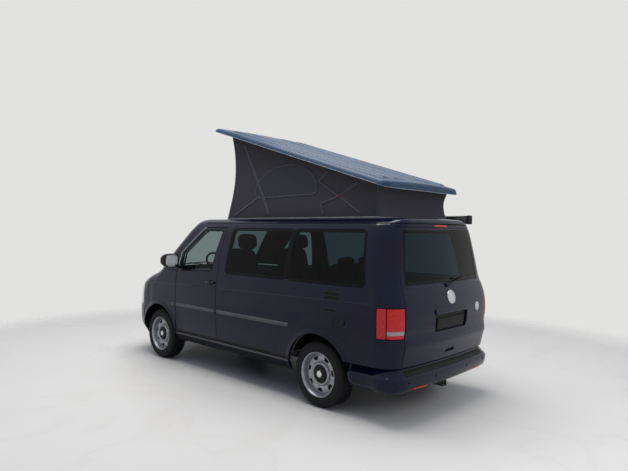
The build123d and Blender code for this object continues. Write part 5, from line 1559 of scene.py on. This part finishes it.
def curve_power(value, power):
    return np.sign(value) * np.abs(value) ** power


def cushion(name, middle, half, tilt, body, replaces=(), crown=0.012, squareness=0.42):
    """A stuffed cushion with crowned faces and a welt round its edge; tilt leans it back, in degrees."""
    rings, count = 20, 44
    rows = []
    lean = Matrix.Rotation(math.radians(-tilt), 3, "Y")
    for i in range(rings + 1):
        high = -math.pi / 2 + math.pi * i / rings
        c, s = max(math.cos(high), 1e-3), math.sin(high)
        row = []
        for k in range(count):
            a = 2 * math.pi * k / count
            u = curve_power(math.cos(a), squareness) * c ** squareness
            v = curve_power(math.sin(a), squareness) * c ** squareness
            w = curve_power(s, squareness)
            swell = crown * (1 - min(1, u * u)) * (1 - min(1, v * v))
            place = Vector((half[0] * u, half[1] * v, half[2] * w + math.copysign(swell, w)))
            row.append(Vector(middle) + lean @ place)
        rows.append(row)
    points, faces = net(rows, closed=True, hand=1)
    made = publish(name, points, faces, SEAT_CLOTH, body, replaces=replaces, slot="seat_fabric")
    welt = [Vector(middle) + lean @ Vector((half[0] * 1.004 * float(curve_power(math.cos(a), squareness)),
                                            half[1] * 1.004 * float(curve_power(math.sin(a), squareness)), 0))
            for a in full_turn(64)]
    publish(f"{name}_welt", *sweep(welt, circle(0.006, 6), closed_path=True), SEAM_CLOTH, body)


for name, hand in SIDES:
    y = SEAT_Y * hand
    cushion(f"seat_base_{name}", (0.520, y, 0.945), (0.245, 0.235, 0.072), 5, "body",
            replaces=on_left("front_seats", hand))
    cushion(f"seat_back_{name}", (0.300, y, 1.250), (0.300, 0.225, 0.062), 78, "body")
    cushion(f"seat_head_{name}", (0.222, y, 1.640), (0.095, 0.135, 0.048), 80, "body", squareness=0.55)
    for side in (-1, 1):
        cushion(f"seat_base_bolster_{name}_{side + 1}", (0.520, y + side * 0.205, 0.975),
                (0.225, 0.038, 0.052), 5, "body", squareness=0.6)
        cushion(f"seat_back_bolster_{name}_{side + 1}", (0.335, y + side * 0.200, 1.220),
                (0.245, 0.036, 0.055), 78, "body", squareness=0.6)
        rod(f"seat_post_{name}_{side + 1}", [(0.232, y + side * 0.05, 1.60), (0.262, y + side * 0.05, 1.48)],
            0.007, CHROME, "body")
    block(f"seat_box_{name}", (0.30, y - 0.20, CABIN_FLOOR), (0.74, y + 0.20, 0.875), 0.02, PLASTIC, "body")
for index, y in enumerate((-0.355, 0.0, 0.355)):
    cushion(f"bench_base_{index}", (-1.010, y, 0.900), (0.205, 0.172, 0.080), 4, "body",
            replaces="rear_bench" if index == 0 else ())
    cushion(f"bench_back_{index}", (-1.285, y, 1.165), (0.260, 0.170, 0.062), 80, "body")
    cushion(f"bench_head_{index}", (-1.330, y, 1.455), (0.045, 0.120, 0.038), 84, "body", squareness=0.6)
block("bench_box", (-1.24, -0.53, CABIN_FLOOR), (-0.83, 0.53, 0.815), 0.02, TRIM, "body")


# Dashboard and steering wheel

dash_form = [(1.405, 1.150), (1.400, 1.205), (1.330, 1.215), (1.220, 1.214), (1.130, 1.208), (1.085, 1.188),
             (1.070, 1.150), (1.085, 1.105), (1.110, 1.060), (1.118, 0.980), (1.150, 0.900), (1.260, 0.820)]
DASH_HALF, DRIVER_Y, VENT_LOW, VENT_PITCH = 0.852, 0.42, 1.110, 0.018


def dash_point(x, y, z):
    """A point of the dashboard's form, raised before the driver and brought back in the middle."""
    hood = 0.016 * math.exp(-((abs(y - DRIVER_Y) / 0.20) ** 4))
    stack = 0.020 * math.exp(-((y / 0.17) ** 6))
    bow = 0.02 * (y / DASH_HALF) ** 2
    return x - bow * (x < 1.3) - stack * (z < 1.2) - hood * 0.5 * (z > 1.14), y, z + hood * (z > 1.14)


rows = [[dash_point(x, y, z) for x, z in dash_form] for y in np.linspace(-DASH_HALF, DASH_HALF, 35)]
publish("dashboard_skin", *net(rows, hand=-1), TRIM, "body", replaces="dashboard")
block("instrument_glass", (1.066, 0.27, 1.125), (1.080, 0.57, 1.195), 0.006, BLACK_GLOSS, "body")
block("centre_screen", (1.046, -0.115, 1.085), (1.066, 0.115, 1.175), 0.006, BLACK_GLOSS, "body")
block("centre_controls", (1.072, -0.105, 0.955), (1.105, 0.105, 1.050), 0.008, PLASTIC, "body")
for index, y in enumerate((-0.76, -0.175, 0.175, 0.76)):
    for step in range(4):
        low = VENT_LOW + step * VENT_PITCH
        block(f"vent_blade_{index}_{step}", (1.054, y - 0.045, low), (1.074, y + 0.045, low + 0.006), 0.002,
              PLASTIC, "body", segments=1)

STEERING_CENTRE, STEERING_TILT = Vector((0.905, DRIVER_Y, 1.330)), math.radians(42)
STEERING_RADIUS, RIM_THICKNESS = 0.180, 0.0145
steering_axis = Vector((-math.cos(STEERING_TILT), 0, math.sin(STEERING_TILT)))
steering_up = Vector((math.sin(STEERING_TILT), 0, math.cos(STEERING_TILT)))


def on_steering(radius, angle, out=0.0):
    """A place on the steering wheel, out from its plane towards the driver."""
    return (STEERING_CENTRE + Vector((0, 1, 0)) * radius * math.cos(angle)
            + steering_up * radius * math.sin(angle) + steering_axis * out)


rows = []
for k in range(49):
    a = 2 * math.pi * k / 48
    rows.append([on_steering(STEERING_RADIUS + RIM_THICKNESS * math.cos(b), a, RIM_THICKNESS * math.sin(b))
                 for b in full_turn(12)])
publish("steering_rim", *net(rows, closed=True, hand=-1), PLASTIC, "body", replaces="steering_wheel")
for index, angle in enumerate((0.12, math.pi - 0.12, -math.pi / 2)):
    path = [on_steering(r, angle, -0.016 * (1 - r / STEERING_RADIUS)) for r in (0.03, 0.08, 0.13, 0.178)]
    publish(f"steering_spoke_{index}", *sweep(path, circle(0.014, 10, 0.5)), PLASTIC, "body")
rows = [[on_steering(radius, a, out) for a in full_turn(32)]
        for radius, out in ((0.045, -0.05), (0.066, -0.02), (0.064, 0.0), (0.050, 0.010), (0.001, 0.014))]
publish("steering_pad", *net(rows, closed=True, hand=1), TRIM, "body")
column = [STEERING_CENTRE - steering_axis * t for t in (0.03, 0.10, 0.20)]
publish("steering_column", *sweep(column, circle(0.032, 16)), PLASTIC, "body")


# Stage: floor, light and sky

FLOOR_FADE = (5.0, 6.6)
BACKDROP = (0.76, 0.76, 0.75, 1)
SKY = [(0.30, (0.30, 0.30, 0.30)), (0.44, (0.015, 0.017, 0.030)), (0.60, (0.020, 0.027, 0.058)),
       (0.75, (0.22, 0.28, 0.42)), (0.90, (0.60, 0.66, 0.76)), (1.0, (0.84, 0.86, 0.90))]


def floor_material():
    """Pale polished stone with faint veins, which fades into the backdrop far from the van."""
    made = material("floor", (0.575, 0.553, 0.525), rough=0.5, grain=0.5, spread=0.04, specular=0.2)
    tree = made.node_tree
    shader = tree.nodes["Principled BSDF"]
    place = add_node(tree, "TexCoord")
    base = shader.inputs["Base Color"].links[0].from_socket
    veins = add_node(tree, "TexNoise", Scale=0.55, Detail=6, Distortion=0.9)
    pale, dark = (1, 1, 1), (0.965, 0.965, 0.96)
    lines = colour_ramp(tree, (0.47, pale), (0.53, pale), (0.5, dark))
    blend = tree.nodes.new("ShaderNodeMix")
    blend.data_type, blend.blend_type = "RGBA", "MULTIPLY"
    blend.inputs["Factor"].default_value = 1
    far = add_node(tree, "VectorMath")
    far.operation = "LENGTH"
    fade = add_node(tree, "MapRange", From_Min=FLOOR_FADE[0], From_Max=FLOOR_FADE[1], To_Min=1, To_Max=0)
    fade.interpolation_type = "SMOOTHSTEP"
    join_nodes(tree, (place.outputs["Object"], veins.inputs["Vector"]),
               (veins.outputs["Fac"], lines.inputs["Fac"]), (base, blend.inputs["A"]),
               (lines.outputs["Color"], blend.inputs["B"]),
               (blend.outputs["Result"], shader.inputs["Base Color"]),
               (place.outputs["Object"], far.inputs[0]), (far.outputs["Value"], fade.inputs["Value"]),
               (fade.outputs["Result"], shader.inputs["Alpha"]))
    return made


def make_floor():
    rows = [[(r * math.cos(a), r * math.sin(a), 0.0) for a in full_turn(64)]
            for r in (0.01, 1, 2, 3, 4, 5, 6, 7)]
    points, faces = net(rows, closed=True, hand=1)
    mesh = bpy.data.meshes.new("floor")
    mesh.from_pydata([tuple(map(float, p)) for p in points], [], faces)
    mesh.materials.append(floor_material())
    floor = bpy.data.objects.new("floor", mesh)
    bpy.context.scene.collection.objects.link(floor)


def make_light(name, place, size, power, aim=(0, 0, 1.0), mirrored_in_paint=True):
    data = bpy.data.lights.new(name, "AREA")
    data.shape, data.size, data.size_y, data.energy = "RECTANGLE", size[0], size[1], power
    lamp = bpy.data.objects.new(name, data)
    lamp.location = place
    lamp.visible_glossy = mirrored_in_paint
    lamp.rotation_mode = "QUATERNION"
    lamp.rotation_quaternion = (Vector(aim) - Vector(place)).to_track_quat("-Z", "Y")
    bpy.context.scene.collection.objects.link(lamp)


def make_world():
    world = bpy.data.worlds.new("sky")
    bpy.context.scene.world = world
    world.use_nodes = True
    tree = world.node_tree
    for node in list(tree.nodes):
        tree.nodes.remove(node)
    output = add_node(tree, "OutputWorld")
    path = add_node(tree, "LightPath")
    place = add_node(tree, "TexCoord")
    split = add_node(tree, "SeparateXYZ")
    shade = colour_ramp(tree, *SKY)
    spread = add_node(tree, "MapRange", From_Min=-1, From_Max=1)
    seen = add_node(tree, "Background", Color=BACKDROP, Strength=1)
    lit = add_node(tree, "Background", Strength=1)
    mix = add_node(tree, "MixShader")
    seen_by = path.outputs["Is Camera Ray"]
    for kind in ("Is Glossy Ray", "Is Transmission Ray"):
        either = add_node(tree, "Math")
        either.operation = "MAXIMUM"
        join_nodes(tree, (seen_by, either.inputs[0]), (path.outputs[kind], either.inputs[1]))
        seen_by = either.outputs["Value"]
    join_nodes(tree, (place.outputs["Generated"], split.inputs["Vector"]),
               (split.outputs["Z"], spread.inputs["Value"]), (spread.outputs["Result"], shade.inputs["Fac"]),
               (shade.outputs["Color"], lit.inputs["Color"]), (seen_by, mix.inputs["Fac"]),
               (lit.outputs["Background"], mix.inputs[1]), (seen.outputs["Background"], mix.inputs[2]),
               (mix.outputs["Shader"], output.inputs["Surface"]))


make_floor()
make_world()
make_light("top", (0.3, 0.3, 9.0), (6, 6), 850, aim=(0.3, 0.3, 0))
make_light("rear_fill", (-6.5, 0.8, 3.2), (4, 3), 95, aim=(-2.0, 0, 2.2), mirrored_in_paint=False)
bpy.context.scene.view_settings.view_transform = "Standard"
